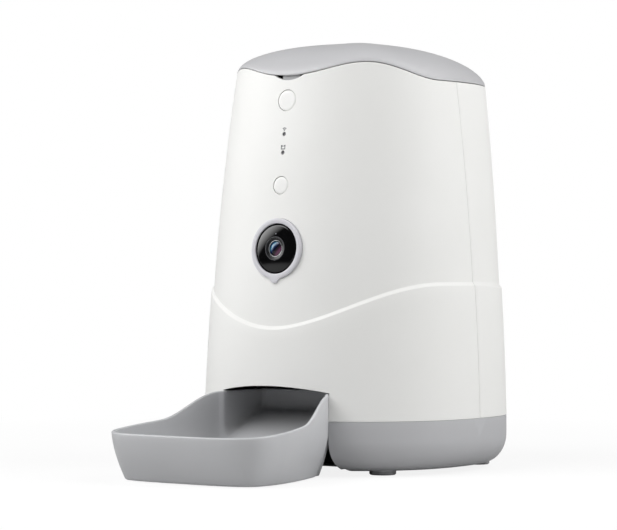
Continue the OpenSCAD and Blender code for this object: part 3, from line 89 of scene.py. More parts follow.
# %% [markdown]
# ## The view
#
# The photograph looks at the front right corner from a little under mid height, with a long lens. Distance,
# height and turn come from fitting the body's outline, and the lens from a focal length in the photograph's
# pixels.

# %% Camera
IMAGE_WIDTH = 617
FOCAL_PIXELS = 2600
CAMERA_DISTANCE = 1914.7
CAMERA_AZIMUTH = radians(35.195)
CAMERA_HEIGHT = 146.8
CAMERA_YAW = radians(-1.048)
CAMERA_PITCH = radians(0.022)
SENSOR_WIDTH = 36

camera_data = bpy.data.cameras.new("photo_camera")
camera_data.sensor_width = SENSOR_WIDTH
camera_data.lens = SENSOR_WIDTH * FOCAL_PIXELS / IMAGE_WIDTH
camera = bpy.data.objects.new("photo_camera", camera_data)
scene.collection.objects.link(camera)
camera.location = place(
    CAMERA_DISTANCE * sin(CAMERA_AZIMUTH), -CAMERA_DISTANCE * cos(CAMERA_AZIMUTH), CAMERA_HEIGHT
)
camera.rotation_euler = (pi / 2 + CAMERA_PITCH, 0, CAMERA_AZIMUTH - CAMERA_YAW)
scene.camera = camera
print("camera lens", round(camera_data.lens, 1), "mm")

# %% [markdown]
# ## Helpers
#
# Finishes are graphs of nodes. One helper adds a node and feeds its inputs; others start and end a material.

# %% Node helpers


def feed(tree, socket, value):
    """Gives an input another node's output or a fixed value. Colours come without alpha."""
    if isinstance(value, bpy.types.NodeSocket):
        tree.links.new(value, socket)
    else:
        socket.default_value = (*value, 1.0) if socket.type == "RGBA" else value


def add_node(tree, kind, inputs=None, **settings):
    """A new node with its settings made and some of its inputs fed."""
    node = tree.nodes.new(kind)
    for label, value in settings.items():
        setattr(node, label, value)
    for label, value in (inputs or {}).items():
        feed(tree, node.inputs[label], value)
    return node


def shader(tree, kind, inputs=None, **settings):
    return add_node(tree, "ShaderNode" + kind, inputs, **settings)


def own_place(tree):
    """The piece's own coordinates."""
    return shader(tree, "TexCoord").outputs["Object"]


def calculate(tree, operation, first, second, **settings):
    return shader(tree, "Math", {0: first, 1: second}, operation=operation, **settings).outputs[0]


def remap(tree, value, old=(0.0, 1.0), new=(0.0, 1.0)):
    """A value carried from one range over to another."""
    limits = dict(zip(("From Min", "From Max", "To Min", "To Max"), (*old, *new)))
    return shader(tree, "MapRange", {"Value": value, **limits}).outputs["Result"]


def mix_shaders(tree, share, first, second):
    return shader(tree, "MixShader", {0: share, 1: first.outputs[0], 2: second.outputs[0]})


print("helpers for nodes are ready")

# %% Material and piece helpers


def new_material(name):
    """An empty node material and its tree."""
    material = bpy.data.materials.new(name)
    material.use_nodes = True
    material.node_tree.nodes.clear()
    return material, material.node_tree


def show(tree, result, kind="Material"):
    """Makes a shader the surface of a material or of the world."""
    shader(tree, "Output" + kind, {"Surface": result.outputs[0]})


def new_piece(name, points, faces):
    mesh = bpy.data.meshes.new(name)
    mesh.from_pydata(points, [], faces)
    mesh.update()
    piece = bpy.data.objects.new(name, mesh)
    scene.collection.objects.link(piece)
    return piece


ONE_QUAD = [(0, 1, 2, 3)]
print("helpers for materials and pieces are ready")

# %% [markdown]
# ## Studio
#
# A white body on a white ground only reads by its soft shading: two broad lights stand left of the camera and
# two right of it, so the corner that faces the camera is the darkest. The floor and the sky are white to the
# camera only, and the floor whitens fully away from the feeder, so that no horizon shows.

# %% Floor and sky
FLOOR_SIZE, FLOOR_DROP = 14, 0.0004
FLOOR_GIVES_BACK, FLOOR_PALE = (0.6, 0.6, 0.6), (0.95, 0.95, 0.95)
FLOOR_FADE, FLOOR_WHITENING = (0.25, 0.7), (0.86, 1.0)
SKY_LIGHT = 0.03


def seen_directly(tree):
    """1 for what the camera sees, also through clear pieces."""
    ray = shader(tree, "LightPath").outputs
    return calculate(tree, "MAXIMUM", ray["Is Camera Ray"], ray["Is Transmission Ray"])


def make_floor():
    half = FLOOR_SIZE / 2
    corners = [(-half, -half, 0), (half, -half, 0), (half, half, 0), (-half, half, 0)]
    floor = new_piece("studio_floor", corners, ONE_QUAD)
    floor.location.z = -FLOOR_DROP
    material, tree = new_material("studio_floor")
    away = shader(tree, "VectorMath", {0: own_place(tree)}, operation="LENGTH").outputs["Value"]
    fade = remap(tree, away, FLOOR_FADE, FLOOR_WHITENING)
    dull = shader(tree, "BsdfDiffuse", {"Color": FLOOR_GIVES_BACK})
    pale = shader(tree, "BsdfDiffuse", {"Color": FLOOR_PALE})
    whitened = mix_shaders(tree, fade, pale, shader(tree, "Emission"))
    show(tree, mix_shaders(tree, seen_directly(tree), dull, whitened))
    floor.data.materials.append(material)


def make_sky():
    world = bpy.data.worlds.new("studio_sky")
    scene.world = world
    world.use_nodes = True
    tree = world.node_tree
    tree.nodes.clear()
    white = (1, 1, 1)
    shown = shader(tree, "Background", {"Color": white})
    lighting = shader(tree, "Background", {"Color": white, "Strength": SKY_LIGHT})
    show(tree, mix_shaders(tree, seen_directly(tree), lighting, shown), kind="World")


make_floor()
make_sky()
scene.view_settings.view_transform = "Standard"
print("studio: floor", FLOOR_SIZE, "m wide, sky light", SKY_LIGHT)

# %% Four broad lights
LIGHT_AIM = (0, 0, 150)
LIGHT_DISTANCE, LIGHT_WIDTH, LIGHT_HEIGHT = 1400, 1100, 1400


def seen_from_body(azimuth, elevation):
    """The direction at two angles in degrees from the body, azimuth 0 being the front."""
    a, e = radians(azimuth), radians(elevation)
    return Vector((sin(a) * cos(e), -cos(a) * cos(e), sin(e)))


def lit_from(azimuth, elevation):
    """A place on the sphere round the body where the studio's lights stand."""
    return Vector(LIGHT_AIM) + seen_from_body(azimuth, elevation) * LIGHT_DISTANCE


def soft_light(name, azimuth, elevation, power):
    """A broad rectangular light aimed at the body."""
    data = bpy.data.lights.new(name, "AREA")
    data.shape = "RECTANGLE"
    data.size = LIGHT_WIDTH * MM
    data.size_y = LIGHT_HEIGHT * MM
    data.energy = power
    lamp = bpy.data.objects.new(name, data)
    scene.collection.objects.link(lamp)
    lamp.location = place(*lit_from(azimuth, elevation))
    lamp.rotation_euler = (-seen_from_body(azimuth, elevation)).to_track_quat("-Z", "Y").to_euler()
    return lamp


left = soft_light("left_window", azimuth=-48, elevation=38, power=8.5)
front = soft_light("front_window", azimuth=-15, elevation=45, power=13.4)
soft_light("right_window", azimuth=94, elevation=20, power=5.6)
soft_light("rear_window", azimuth=118, elevation=38, power=13.6)
left.visible_glossy = front.visible_glossy = False

# %% [markdown]
# Gloss pieces mirror what stands round them. This card stands front left, glows more towards its outer edge
# and lights nothing: it only shows in reflections, such as the crescent on the camera's window.

# %% Reflection card
CARD_GLOW = 11.0
CARD_CORNERS = ((-10, 38), (-65, -6), (-77, 9), (-22, 52))
CARD_SHARES = (0.0, 0.0, 1.0, 1.0)


def reflection_card():
    card = new_piece("reflection_card", [place(*lit_from(*angles)) for angles in CARD_CORNERS], ONE_QUAD)
    card.data.attributes.new("glow", "FLOAT", "POINT").data.foreach_set("value", CARD_SHARES)
    material, tree = new_material("reflection_card")
    share = shader(tree, "Attribute", attribute_name="glow").outputs["Fac"]
    strength = calculate(tree, "MULTIPLY", share, CARD_GLOW)
    show(tree, shader(tree, "Emission", {"Strength": strength}))
    card.data.materials.append(material)
    card.visible_camera = card.visible_diffuse = card.visible_transmission = card.visible_shadow = False


reflection_card()
print("reflection card between", CARD_CORNERS[0], "and", CARD_CORNERS[2], "degrees")

# %% [markdown]
# ## Finishes
#
# Nearly everything is moulded plastic, which is never one flat colour: the tool leaves a fine grain, the
# colour drifts where the plastic cooled, and handling polishes the edges. Those three effects are shader
# groups, placed in each material with its own strength.

# %% Shared effects: grain, drift and rubbed edges
DRIFT_SPREAD = (0.3, 0.7)
FLAT_POINTINESS = 0.5


def new_group(name, label, default, outputs):
    """A shader group with one input and some outputs, and the value given to it."""
    group = bpy.data.node_groups.new(name, "ShaderNodeTree")
    group.interface.new_socket(label, in_out="INPUT", socket_type="NodeSocketFloat").default_value = default
    for output in outputs:
        group.interface.new_socket(output, in_out="OUTPUT", socket_type="NodeSocketFloat")
    return group, add_node(group, "NodeGroupInput").outputs[label]


def noise(tree, scale, detail):
    inputs = {"Vector": own_place(tree), "Scale": scale, "Detail": detail}
    return shader(tree, "TexNoise", inputs).outputs["Fac"]


def make_grain_group():
    group, scale = new_group("tool_grain", "Scale", 1500.0, ["Height", "Speckle"])
    fine = noise(group, scale, 2.0)
    cells = shader(group, "TexVoronoi", {"Vector": own_place(group), "Scale": scale}).outputs["Distance"]
    add_node(group, "NodeGroupOutput", {"Height": calculate(group, "MULTIPLY", fine, cells), "Speckle": fine})
    return group


def make_drift_group():
    group, scale = new_group("cooling_drift", "Scale", 14.0, ["Mask"])
    add_node(group, "NodeGroupOutput", {"Mask": remap(group, noise(group, scale, 3.0), DRIFT_SPREAD)})
    return group


def make_rub_group():
    group, reach = new_group("rubbed_edges", "Reach", 0.06, ["Mask"])
    bent = shader(group, "NewGeometry").outputs["Pointiness"]
    past = calculate(group, "SUBTRACT", bent, FLAT_POINTINESS)
    add_node(group, "NodeGroupOutput", {"Mask": calculate(group, "DIVIDE", past, reach, use_clamp=True)})
    return group


GRAIN = make_grain_group()
DRIFT = make_drift_group()
RUB = make_rub_group()
print("shared effects:", GRAIN.name, DRIFT.name, RUB.name)

# %% [markdown]
# The two colours are one pigment in its darker and lighter drift. The grain feeds a bump, and its speckle
# spreads the roughness, which gives satin plastic its soft glints.

# %% Surface helpers


def use_group(tree, group, **values):
    """The outputs of a shared effect, placed in a material."""
    return shader(tree, "Group", values, node_tree=group).outputs


def blend_colours(tree, mask, low, high):
    """A colour between two ends, each a fixed colour or another node's output."""
    blend = shader(tree, "Mix", {"Factor": mask}, data_type="RGBA")
    ends = [socket for socket in blend.inputs if socket.type == "RGBA"]
    for socket, value in zip(ends, (low, high)):
        feed(tree, socket, value)
    return next(socket for socket in blend.outputs if socket.type == "RGBA")


def show_surface(tree, tone, gloss, height=None, depth=0.0, extra=None):
    """Shows one shader with a colour, a roughness and, where a height is given, a bump."""
    inputs = {"Base Color": tone, "Roughness": gloss, **(extra or {})}
    if height is not None:
        bump = shader(tree, "Bump", {"Strength": 1.0, "Distance": depth, "Height": height})
        inputs["Normal"] = bump.outputs["Normal"]
    show(tree, shader(tree, "BsdfPrincipled", inputs))


print("helpers for surfaces are ready")

# %% Moulded plastic
PLASTIC_GRAIN = 1400.0
ROUGH_SPREAD = 0.07
RUBBED_PALER = 1.06


def moulded(name, colour, lighter, rough, depth=0.00002, rubbed=True):
    """Plastic with tool grain, a slow drift between two colours, and paler rubbed edges."""
    material, tree = new_material(name)
    grain = use_group(tree, GRAIN, Scale=PLASTIC_GRAIN)
    tone = blend_colours(tree, use_group(tree, DRIFT)["Mask"], colour, lighter)
    if rubbed:
        paler = tuple(min(1.0, c * RUBBED_PALER) for c in lighter)
        tone = blend_colours(tree, use_group(tree, RUB)["Mask"], tone, paler)
    gloss = remap(tree, grain["Speckle"], new=(rough - ROUGH_SPREAD, rough + ROUGH_SPREAD))
    show_surface(tree, tone, gloss, grain["Height"], depth)
    return material


finishes = {
    "white_body": moulded("satin_white", (0.86, 0.86, 0.84), (0.88, 0.88, 0.862), 0.6, rubbed=False),
    "button_white": moulded("satin_white_key", (0.86, 0.86, 0.845), (0.88, 0.88, 0.865), 0.55),
    "lid_grey": moulded("satin_pale_grey", (0.52, 0.52, 0.533), (0.535, 0.535, 0.548), 0.45),
    "base_grey": moulded("grained_grey", (0.475, 0.478, 0.492), (0.49, 0.493, 0.507), 0.5, depth=0.00003),
    "bowl_grey": moulded("satin_bowl_grey", (0.515, 0.52, 0.534), (0.53, 0.535, 0.549), 0.4),
    "black_plastic": moulded("matt_black", (0.012, 0.012, 0.012), (0.018, 0.018, 0.018), 0.55),
    "bezel_grey": moulded("satin_bezel", (0.62, 0.615, 0.65), (0.64, 0.635, 0.67), 0.35),
    "lens_black": moulded("lens_black", (0.006, 0.006, 0.007), (0.009, 0.009, 0.01), 0.3),
    "inner_white": moulded("natural_white", (0.74, 0.75, 0.75), (0.78, 0.79, 0.79), 0.5),
    "rotor_grey": moulded("wheel_grey", (0.10, 0.105, 0.12), (0.12, 0.125, 0.14), 0.5),
    "gear_plastic": moulded("natural_acetal", (0.74, 0.70, 0.60), (0.78, 0.74, 0.65), 0.35),
    "gearbox_plastic": moulded("gearbox_grey", (0.045, 0.046, 0.05), (0.06, 0.061, 0.066), 0.5),
    "speaker_dark": moulded("speaker_dark", (0.04, 0.04, 0.045), (0.06, 0.06, 0.065), 0.45),
}
print("plastics:", len(finishes))

# %% [markdown]
# ## Rubber, metal and the other finishes
#
# Rubber is dull and slightly dusty. Drawn metal has fine lines along one direction. Circuit boards carry
# tracks, the sachet is a coarse weave, and a battery has a printed jacket.

# %% Rubber and metal
RUBBER_GRAIN, RUBBER_DRIFT, RUBBER_BUMP, RUBBER_ROUGH = 900.0, 60.0, 0.00006, (0.7, 0.9)
LINE_STRETCH, LINE_BUMP, LINE_SHINE, LINE_DULL = (40.0, 40.0, 2600.0), 0.000008, 0.08, 0.12


def rubber(name, colour, lighter):
    material, tree = new_material(name)
    grain = use_group(tree, GRAIN, Scale=RUBBER_GRAIN)
    tone = blend_colours(tree, use_group(tree, DRIFT, Scale=RUBBER_DRIFT)["Mask"], colour, lighter)
    gloss = remap(tree, grain["Speckle"], new=RUBBER_ROUGH)
    show_surface(tree, tone, gloss, grain["Height"], RUBBER_BUMP)
    return material


def drawn_metal(name, colour, lighter, rough):
    """Metal with fine lines: noise squeezed along one axis."""
    material, tree = new_material(name)
    squeeze = shader(tree, "Mapping", {"Vector": own_place(tree), "Scale": LINE_STRETCH})
    lines = shader(tree, "TexNoise", {"Vector": squeeze.outputs["Vector"], "Scale": 1.0}).outputs["Fac"]
    tone = blend_colours(tree, lines, colour, lighter)
    gloss = remap(tree, lines, new=(rough - LINE_SHINE, rough + LINE_DULL))
    show_surface(tree, tone, gloss, lines, LINE_BUMP, extra={"Metallic": 1.0})
    return material


finishes["foot_rubber"] = rubber("foot_rubber", (0.28, 0.28, 0.29), (0.32, 0.32, 0.33))
finishes["seal_rubber"] = rubber("seal_rubber", (0.62, 0.63, 0.64), (0.68, 0.69, 0.70))
finishes["steel"] = drawn_metal("plain_steel", (0.52, 0.53, 0.55), (0.66, 0.67, 0.69), 0.3)
finishes["motor_can"] = drawn_metal("drawn_can", (0.46, 0.47, 0.49), (0.58, 0.59, 0.61), 0.35)
finishes["brass"] = drawn_metal("turned_brass", (0.62, 0.44, 0.19), (0.76, 0.58, 0.30), 0.28)
print("rubber and metal:", len(finishes))

# %% Boards, ribbon, sachet and cells
STRIPE_BEND, STRIPE_DULL = 2.0, 0.12


def striped(name, scale, low, high, rough, depth):
    """A finish that alternates between two colours: tracks, threads or printed bands."""
    material, tree = new_material(name)
    inputs = {"Vector": own_place(tree), "Scale": scale, "Distortion": STRIPE_BEND}
    wave = shader(tree, "TexWave", inputs, wave_type="BANDS", bands_direction="DIAGONAL").outputs["Fac"]
    tone = blend_colours(tree, wave, low, high)
    show_surface(tree, tone, remap(tree, wave, new=(rough, rough + STRIPE_DULL)), wave, depth)
    return material


finishes |= {
    "circuit_board": striped("solder_mask", 90.0, (0.012, 0.10, 0.045), (0.03, 0.19, 0.09), 0.3, 0.00003),
    "ribbon": striped("amber_film", 160.0, (0.42, 0.19, 0.03), (0.66, 0.36, 0.09), 0.25, 0.00002),
    "pack_fabric": striped("sachet_weave", 420.0, (0.68, 0.67, 0.60), (0.86, 0.85, 0.79), 0.8, 0.00012),
    "cell_jacket": striped("printed_jacket", 6.0, (0.05, 0.05, 0.055), (0.42, 0.30, 0.09), 0.25, 0.00001),
}
print("finishes so far:", len(finishes))

# %% [markdown]
# ## Soft shading for carried-over pieces
#
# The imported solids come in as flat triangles. A geometry node group welds them and shades them smooth up to a
# set angle. It is a modifier, so the solids stay as they are.

# %% Smooth-by-angle modifier
SHARP_ANGLE = radians(32)
WELD_DISTANCE = 2e-6


def make_soft_shading():
    group = bpy.data.node_groups.new("soft_shading", "GeometryNodeTree")
    for way in ("INPUT", "OUTPUT"):
        group.interface.new_socket("Geometry", in_out=way, socket_type="NodeSocketGeometry")
    given = add_node(group, "NodeGroupInput").outputs[0]
    weld = add_node(group, "GeometryNodeMergeByDistance", {"Geometry": given, "Distance": WELD_DISTANCE})
    faces = add_node(group, "GeometryNodeSetShadeSmooth", {"Geometry": weld.outputs[0]}, domain="FACE")
    angle = add_node(group, "GeometryNodeInputMeshEdgeAngle").outputs["Unsigned Angle"]
    limit = {0: angle, 1: SHARP_ANGLE}
    flat = add_node(group, "FunctionNodeCompare", limit, data_type="FLOAT", operation="LESS_THAN")
    inputs = {"Geometry": faces.outputs[0], "Shade Smooth": flat.outputs[0]}
    edges = add_node(group, "GeometryNodeSetShadeSmooth", inputs, domain="EDGE")
    add_node(group, "NodeGroupOutput", {0: edges.outputs[0]})
    return group


SOFT_SHADING = make_soft_shading()
slot_of = {part["node"]: part["material_slot"] for part in frame["record"]["subparts"]}
for name, piece in nodes.items():
    finish = finishes.get(slot_of[name])
    if finish is not None:
        piece.data.materials.clear()
        piece.data.materials.append(finish)
    piece.modifiers.new("soft_shading", "NODES").node_group = SOFT_SHADING
print("dressed", len(nodes), "solids")

# %% [markdown]
# ## The body's shape
#
# In plan the body is between an ellipse and a rectangle, with a softer front and a squarer rear. Its width
# and front depth shrink upwards along curves through three measured levels, while the rear wall stands
# upright.

# %% Body outline
LEVELS = (40, 150, 275)
HALF_WIDTHS = (105.5, 101, 88.5)
FRONT_DEPTHS = (105, 98, 83.7)
REAR_DEPTH = 93
FRONT_SQUARE = 2.2
REAR_SQUARE = 2.45
WALL = 2.6
SEAM = 0.3
BASE_TOP = 38.5


def through_levels(z, values):
    """The parabola through three values at the three measured levels."""
    total = 0
    for level, value in zip(LEVELS, values):
        others = [other for other in LEVELS if other != level]
        total += value * prod((z - other) / (level - other) for other in others)
    return total


def half_width(z):
    return through_levels(z, HALF_WIDTHS)


def front_depth(z):
    return through_levels(z, FRONT_DEPTHS)


def signed_power(value, power):
    return copysign(abs(value) ** power, value) if abs(value) > 1e-9 else 0.0


def section(turn, half, front, rear):
    """Plan outline at an angle in degrees, -90 being the front."""
    c, s = cos(radians(turn)), sin(radians(turn))
    power = 2 / (FRONT_SQUARE if s < 0 else REAR_SQUARE)
    return half * signed_power(c, power), (front if s < 0 else rear) * signed_power(s, power)


def body_point(turn, z, out):
    """A point on the body's outer face, moved outwards by a distance."""
    x, y = section(turn, half_width(z) + out, front_depth(z) + out, REAR_DEPTH + out)
    return x, y, z


print("body width", *[round(2 * half_width(z), 1) for z in LEVELS], "mm at heights", *LEVELS)

# %% Blends and turns


def clamp(share):
    return min(1.0, max(0.0, share))


def ease(share):
    return (1 - cos(pi * clamp(share))) / 2


def mix(a, b, share):
    return a + (b - a) * share


def spaced(a, b, steps):
    """Evenly spaced values from a to b."""
    return [mix(a, b, i / steps) for i in range(steps + 1)]


def full_turn(columns):
    """Angles all round the body, from the front."""
    return [-90 + 360 * j / columns for j in range(columns)]


def from_front(turn):
    away = abs(turn + 90)
    return min(away, 360 - away)


print("a quarter of the way, eased:", round(ease(0.25), 3))

# %% Ledge and rim
LEDGE_FRONT, LEDGE_SIDE, LEDGE_REAR = 102, 133, 131
LEDGE_SPAN, LEDGE_BEND, LEDGE_REAR_TURN = 72, 0.85, 25
LEDGE_STEP, LEDGE_RISE, SKIRT_FLARE = 1.65, 2.4, 1.0
RIM_FRONT, RIM_CREST, RIM_SIDE = 282, 290.4, 278.6
RIM_CREST_ANGLE, RIM_SIDE_ANGLE = 38, 79


def ledge_height(turn):
    away = from_front(turn)
    if away < LEDGE_SPAN:
        return mix(LEDGE_FRONT, LEDGE_SIDE, ease((away / LEDGE_SPAN) ** LEDGE_BEND))
    return mix(LEDGE_SIDE, LEDGE_REAR, ease((away - 90) / LEDGE_REAR_TURN))


def rim_height(turn):
    away = from_front(turn)
    if away < RIM_CREST_ANGLE:
        return mix(RIM_FRONT, RIM_CREST, ease(away / RIM_CREST_ANGLE))
    return mix(RIM_CREST, RIM_SIDE, ease((away - RIM_CREST_ANGLE) / (RIM_SIDE_ANGLE - RIM_CREST_ANGLE)))


def skirt_step(z):
    """How far the skirt below the ledge stands out of the upper body."""
    return LEDGE_STEP + SKIRT_FLARE * (LEDGE_SIDE - z) / (LEDGE_SIDE - BASE_TOP)


print("ledge runs from", LEDGE_FRONT, "to", LEDGE_SIDE, "mm, rim from", RIM_SIDE, "to", RIM_CREST)

# %% [markdown]
# ## Building skins
#
# A moulded wall is a set of rows of points, joined by quads. Rows of equal length keep the highlights smooth.
# Openings are cut afterwards with an exact boolean.

# %% Skin helpers


def finish_piece(piece, slot, *stands_for, body="feeder"):
    """Shades a new piece and ties it to its finish, its body and the solids it stands for."""
    mesh = piece.data
    mesh.polygons.foreach_set("use_smooth", [True] * len(mesh.polygons))
    mesh.set_sharp_from_angle(angle=SHARP_ANGLE)
    mesh.materials.clear()
    mesh.materials.append(finishes[slot])
    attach(piece, body)
    if stands_for:
        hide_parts(*stands_for)
    print(piece.name, "-", len(mesh.polygons), "faces")
    return piece


def skin(name, rows, closed_rows=True, ring=False, strips=False):
    """A mesh of quads between rows of points in millimetres, going up and counter-clockwise."""
    n, m = len(rows[0]), len(rows)
    faces = [
        (i * n + j, i * n + (j + 1) % n, (i + 1) % m * n + (j + 1) % n, (i + 1) % m * n + j)
        for i in range(m if ring else m - 1)
        for j in range(n if closed_rows else n - 1)
    ]
    top = (m - 1) * n
    if strips:
        for j in range(n // 2):
            strip = list(dict.fromkeys((j, j + 1, n - j - 1, (n - j) % n)))
            faces.append(tuple(reversed(strip)))
            faces.append(tuple(top + k for k in strip))
    elif closed_rows and not ring:
        faces.append(tuple(reversed(range(n))))
        faces.append(tuple(range(top, top + n)))
    elif ring and not closed_rows:
        faces.append(tuple(i * n for i in range(m)))
        faces.append(tuple(i * n + n - 1 for i in reversed(range(m))))
    return new_piece(name, [place(*p) for row in rows for p in row], faces)


print("helpers for skins are ready")

# %% Cutting helpers


def cut(piece, *cutters, operation="DIFFERENCE"):
    """Cuts closed meshes out of a piece, or joins them to it, and removes them."""
    for cutter in cutters:
        modifier = piece.modifiers.new("cut", "BOOLEAN")
        modifier.operation = operation
        modifier.solver = "EXACT"
        modifier.object = cutter
    graph = bpy.context.evaluated_depsgraph_get()
    result = bpy.data.meshes.new_from_object(piece.evaluated_get(graph))
    piece.modifiers.clear()
    piece.data = result
    for cutter in cutters:
        bpy.data.objects.remove(cutter)
    return piece


def prism(outline, near, far):
    """An outline of (x, z) points drawn from one depth to another, used only for cutting."""
    return skin("cutter", [[(x, y, z) for x, z in outline] for y in (near, far)])


def circle(radius, steps):
    """The points of a circle, counter-clockwise."""
    turns = [2 * pi * k / steps for k in range(steps)]
    return [(radius * cos(a), radius * sin(a)) for a in turns]


print("helpers for cutting are ready")

# %% Places on the front face
LENS_Z, PANEL_Z = 159, 234.2


def front_lean(z):
    return atan((front_depth(z - 1) - front_depth(z + 1)) / 2)


def on_front(z, x, up, out):
    """A point beside, above and in front of the place on the front face at height z."""
    c, s = cos(front_lean(z)), sin(front_lean(z))
    return x, -front_depth(z) + up * s - out * c, z + up * c + out * s


def turned_on_front(name, z, profile, steps=96, centre_up=0.0, ring=False):
    """A turned shape on the front face, from profile points (radius, out) from back to front."""
    rows = [[on_front(z, x, centre_up + up, out) for x, up in circle(r, steps)] for r, out in profile]
    return skin(name, rows, ring=ring)


print("the front leans back", round(degrees(front_lean(LENS_Z)), 2), "degrees at the lens")

# %% [markdown]
# ## The white body halves
#
# The halves meet in a hairline seam down each side. Each is one wall: up the outside over the skirt, the
# sloped ledge and the upper wall, over the rounded rim and down the inside. The outer columns are pulled in a
# little, which rounds the seam's edges.

# %% Wall rows
SHELL_COLUMNS = 140
SKIRT_ROWS, UPPER_ROWS, INSIDE_ROWS = 10, 34, 12
SHELL_FOOT = BASE_TOP + 0.12
SEAM_TURN, SEAM_ROUND = 0.16, 0.3
EDGE_ROUND, FOOT_EDGE, INNER_ROUND = 0.6, 0.2, 0.4


def shell_turns(start):
    """Column angles over half a turn, with an extra column beside each seam."""
    first, *inner, last = spaced(start, start + 180, SHELL_COLUMNS)
    return [first, first + SEAM_TURN, *inner, last - SEAM_TURN, last]


def wall_profile(turn):
    """(height, distance out) up the outside and down the inside of the wall at one column."""
    ledge, rim = ledge_height(turn), rim_height(turn)
    step, top = skirt_step(ledge), ledge + LEDGE_RISE
    skirt = spaced(SHELL_FOOT + FOOT_EDGE, ledge - EDGE_ROUND, SKIRT_ROWS)
    outside = [(SHELL_FOOT, skirt_step(SHELL_FOOT) - FOOT_EDGE), *[(z, skirt_step(z)) for z in skirt]]
    outside += [(ledge - 0.1, step - 0.06), (ledge + 0.25, step - 0.24), (top - 0.35, 0.2), (top, 0.05)]
    outside += [(z, 0) for z in spaced(top + 0.6, rim - EDGE_ROUND, UPPER_ROWS)]
    outside += [(rim - 0.18, -0.18), (rim, -EDGE_ROUND)]
    inside = [(rim, INNER_ROUND - WALL)]
    for z in spaced(rim - INNER_ROUND, SHELL_FOOT, INSIDE_ROWS):
        inside.append((z, (skirt_step(z) if z < ledge else 0) - WALL))
    return outside, inside


def half_body(name, start, shift):
    turns = shell_turns(start)
    columns = []
    for turn in turns:
        pulled = SEAM_ROUND if turn in (turns[0], turns[-1]) else 0
        outside, inside = wall_profile(turn)
        profile = [(z, out - pulled) for z, out in outside] + inside
        points = [body_point(turn, z, out) for z, out in profile]
        columns.append([(x, y + shift, z) for x, y, z in points])
    return skin(name, list(zip(*columns)), closed_rows=False, ring=True)


front_half = half_body("front_body_half", -180, -SEAM / 2)
rear_half = half_body("rear_body_half", 0, SEAM / 2)
print("half body:", len(front_half.data.vertices), "points")

# %% [markdown]
# The front half has an arched doorway for the bowl, a finger notch in the rim, and round holes for the
# camera, the two buttons and the two lights. The rear half has five upright slots in front of the speaker.

# %% Cutters for the body
DOORWAY_HALF = 46.8
ARCH_SIDE, ARCH_TOP, ARCH_FOOT, ARCH_STEPS = 58.3, 62.5, 20, 40
NOTCH_HALF, NOTCH_DEPTH = 12, 3.2
BEZEL_R, BEZEL_GAP = 21.5, 0.25
BUTTON_UP = 30.5
FEED_R, PAIR_R, LIGHT_R = 7.4, 6.15, 1.5
LIGHTS_UP = (6.2, -7.1)
BUTTON_GAP, LIGHT_GAP = 0.4, 0.05
SPEAKER_Z, SLOT_REACH = 172, 16
SLOT_COUNT, SLOT_PITCH, SLOT_WIDTH = 5, 6, 2.4
BEFORE_ALL, BELOW_ALL, BEHIND_ALL, HOLE_REACH = -140, -1, 110, 12
ARCH_BACK, NOTCH_BACK, NOTCH_FRONT, SLOT_INSIDE = -50, -68, -110, 84


def arc_radius(half, rise):
    """The radius of an arc with half its width and its rise given."""
    return (half**2 + rise**2) / (2 * rise)


def arch_cutter():
    radius = arc_radius(DOORWAY_HALF, ARCH_TOP - ARCH_SIDE)
    half_angle = asin(DOORWAY_HALF / radius)
    outline = [(-DOORWAY_HALF, ARCH_FOOT), (DOORWAY_HALF, ARCH_FOOT)]
    for a in spaced(half_angle, -half_angle, ARCH_STEPS):
        outline.append((radius * sin(a), ARCH_TOP - radius + radius * cos(a)))
    return prism(outline, ARCH_BACK, BEFORE_ALL)


def notch_cutter():
    radius = arc_radius(NOTCH_HALF, NOTCH_DEPTH)
    centre = RIM_FRONT - NOTCH_DEPTH + radius
    return prism([(x, centre + z) for x, z in circle(radius, 180)], NOTCH_BACK, NOTCH_FRONT)


def hole_cutter(z, up, radius):
    profile = [(radius, -HOLE_REACH), (radius, HOLE_REACH)]
    return turned_on_front("cutter", z, profile, steps=72, centre_up=up)


def slot_cutter(index):
    x = (index - (SLOT_COUNT - 1) / 2) * SLOT_PITCH
    half = SLOT_WIDTH / 2
    straight = sqrt(SLOT_REACH**2 - x**2) - half
    ring = [(x + dx, SPEAKER_Z + dz + copysign(straight, dz)) for dx, dz in circle(half, 24)]
    return prism(ring, BEHIND_ALL, SLOT_INSIDE)


print("doorway", 2 * DOORWAY_HALF, "mm wide and", ARCH_TOP, "mm high")

# %% Openings in the body
cut(
    front_half,
    arch_cutter(),
    notch_cutter(),
    hole_cutter(LENS_Z, 0, BEZEL_R + BEZEL_GAP),
    hole_cutter(PANEL_Z, BUTTON_UP, FEED_R + BUTTON_GAP),
    hole_cutter(PANEL_Z, -BUTTON_UP, PAIR_R + BUTTON_GAP),
    *[hole_cutter(PANEL_Z, up, LIGHT_R + LIGHT_GAP) for up in LIGHTS_UP],
)
cut(rear_half, *[slot_cutter(i) for i in range(SLOT_COUNT)])
finish_piece(front_half, "white_body", "front_shell")
finish_piece(rear_half, "white_body", "rear_shell")

# %% [markdown]
# A boolean leaves long thin faces round each hole, whose averaged shading shows as streaks. The wall's
# outward direction is known from its formula, so the faces on it are given that direction.

# %% True shading on the upper wall
WALL_TOLERANCE = 0.002


def plan_share(x, y, z):
    """1 on the front wall's outer face, less inside it and more outside."""
    return abs(x / half_width(z)) ** FRONT_SQUARE + abs(y / front_depth(z)) ** FRONT_SQUARE


def wall_direction(x, y, z):
    """The outward direction of the front wall, from the slope of its plan share."""
    step = 0.01
    slopes = []
    for dx, dy, dz in ((step, 0, 0), (0, step, 0), (0, 0, step)):
        slopes.append(plan_share(x + dx, y + dy, z + dz) - plan_share(x - dx, y - dy, z - dz))
    return Vector(slopes).normalized()


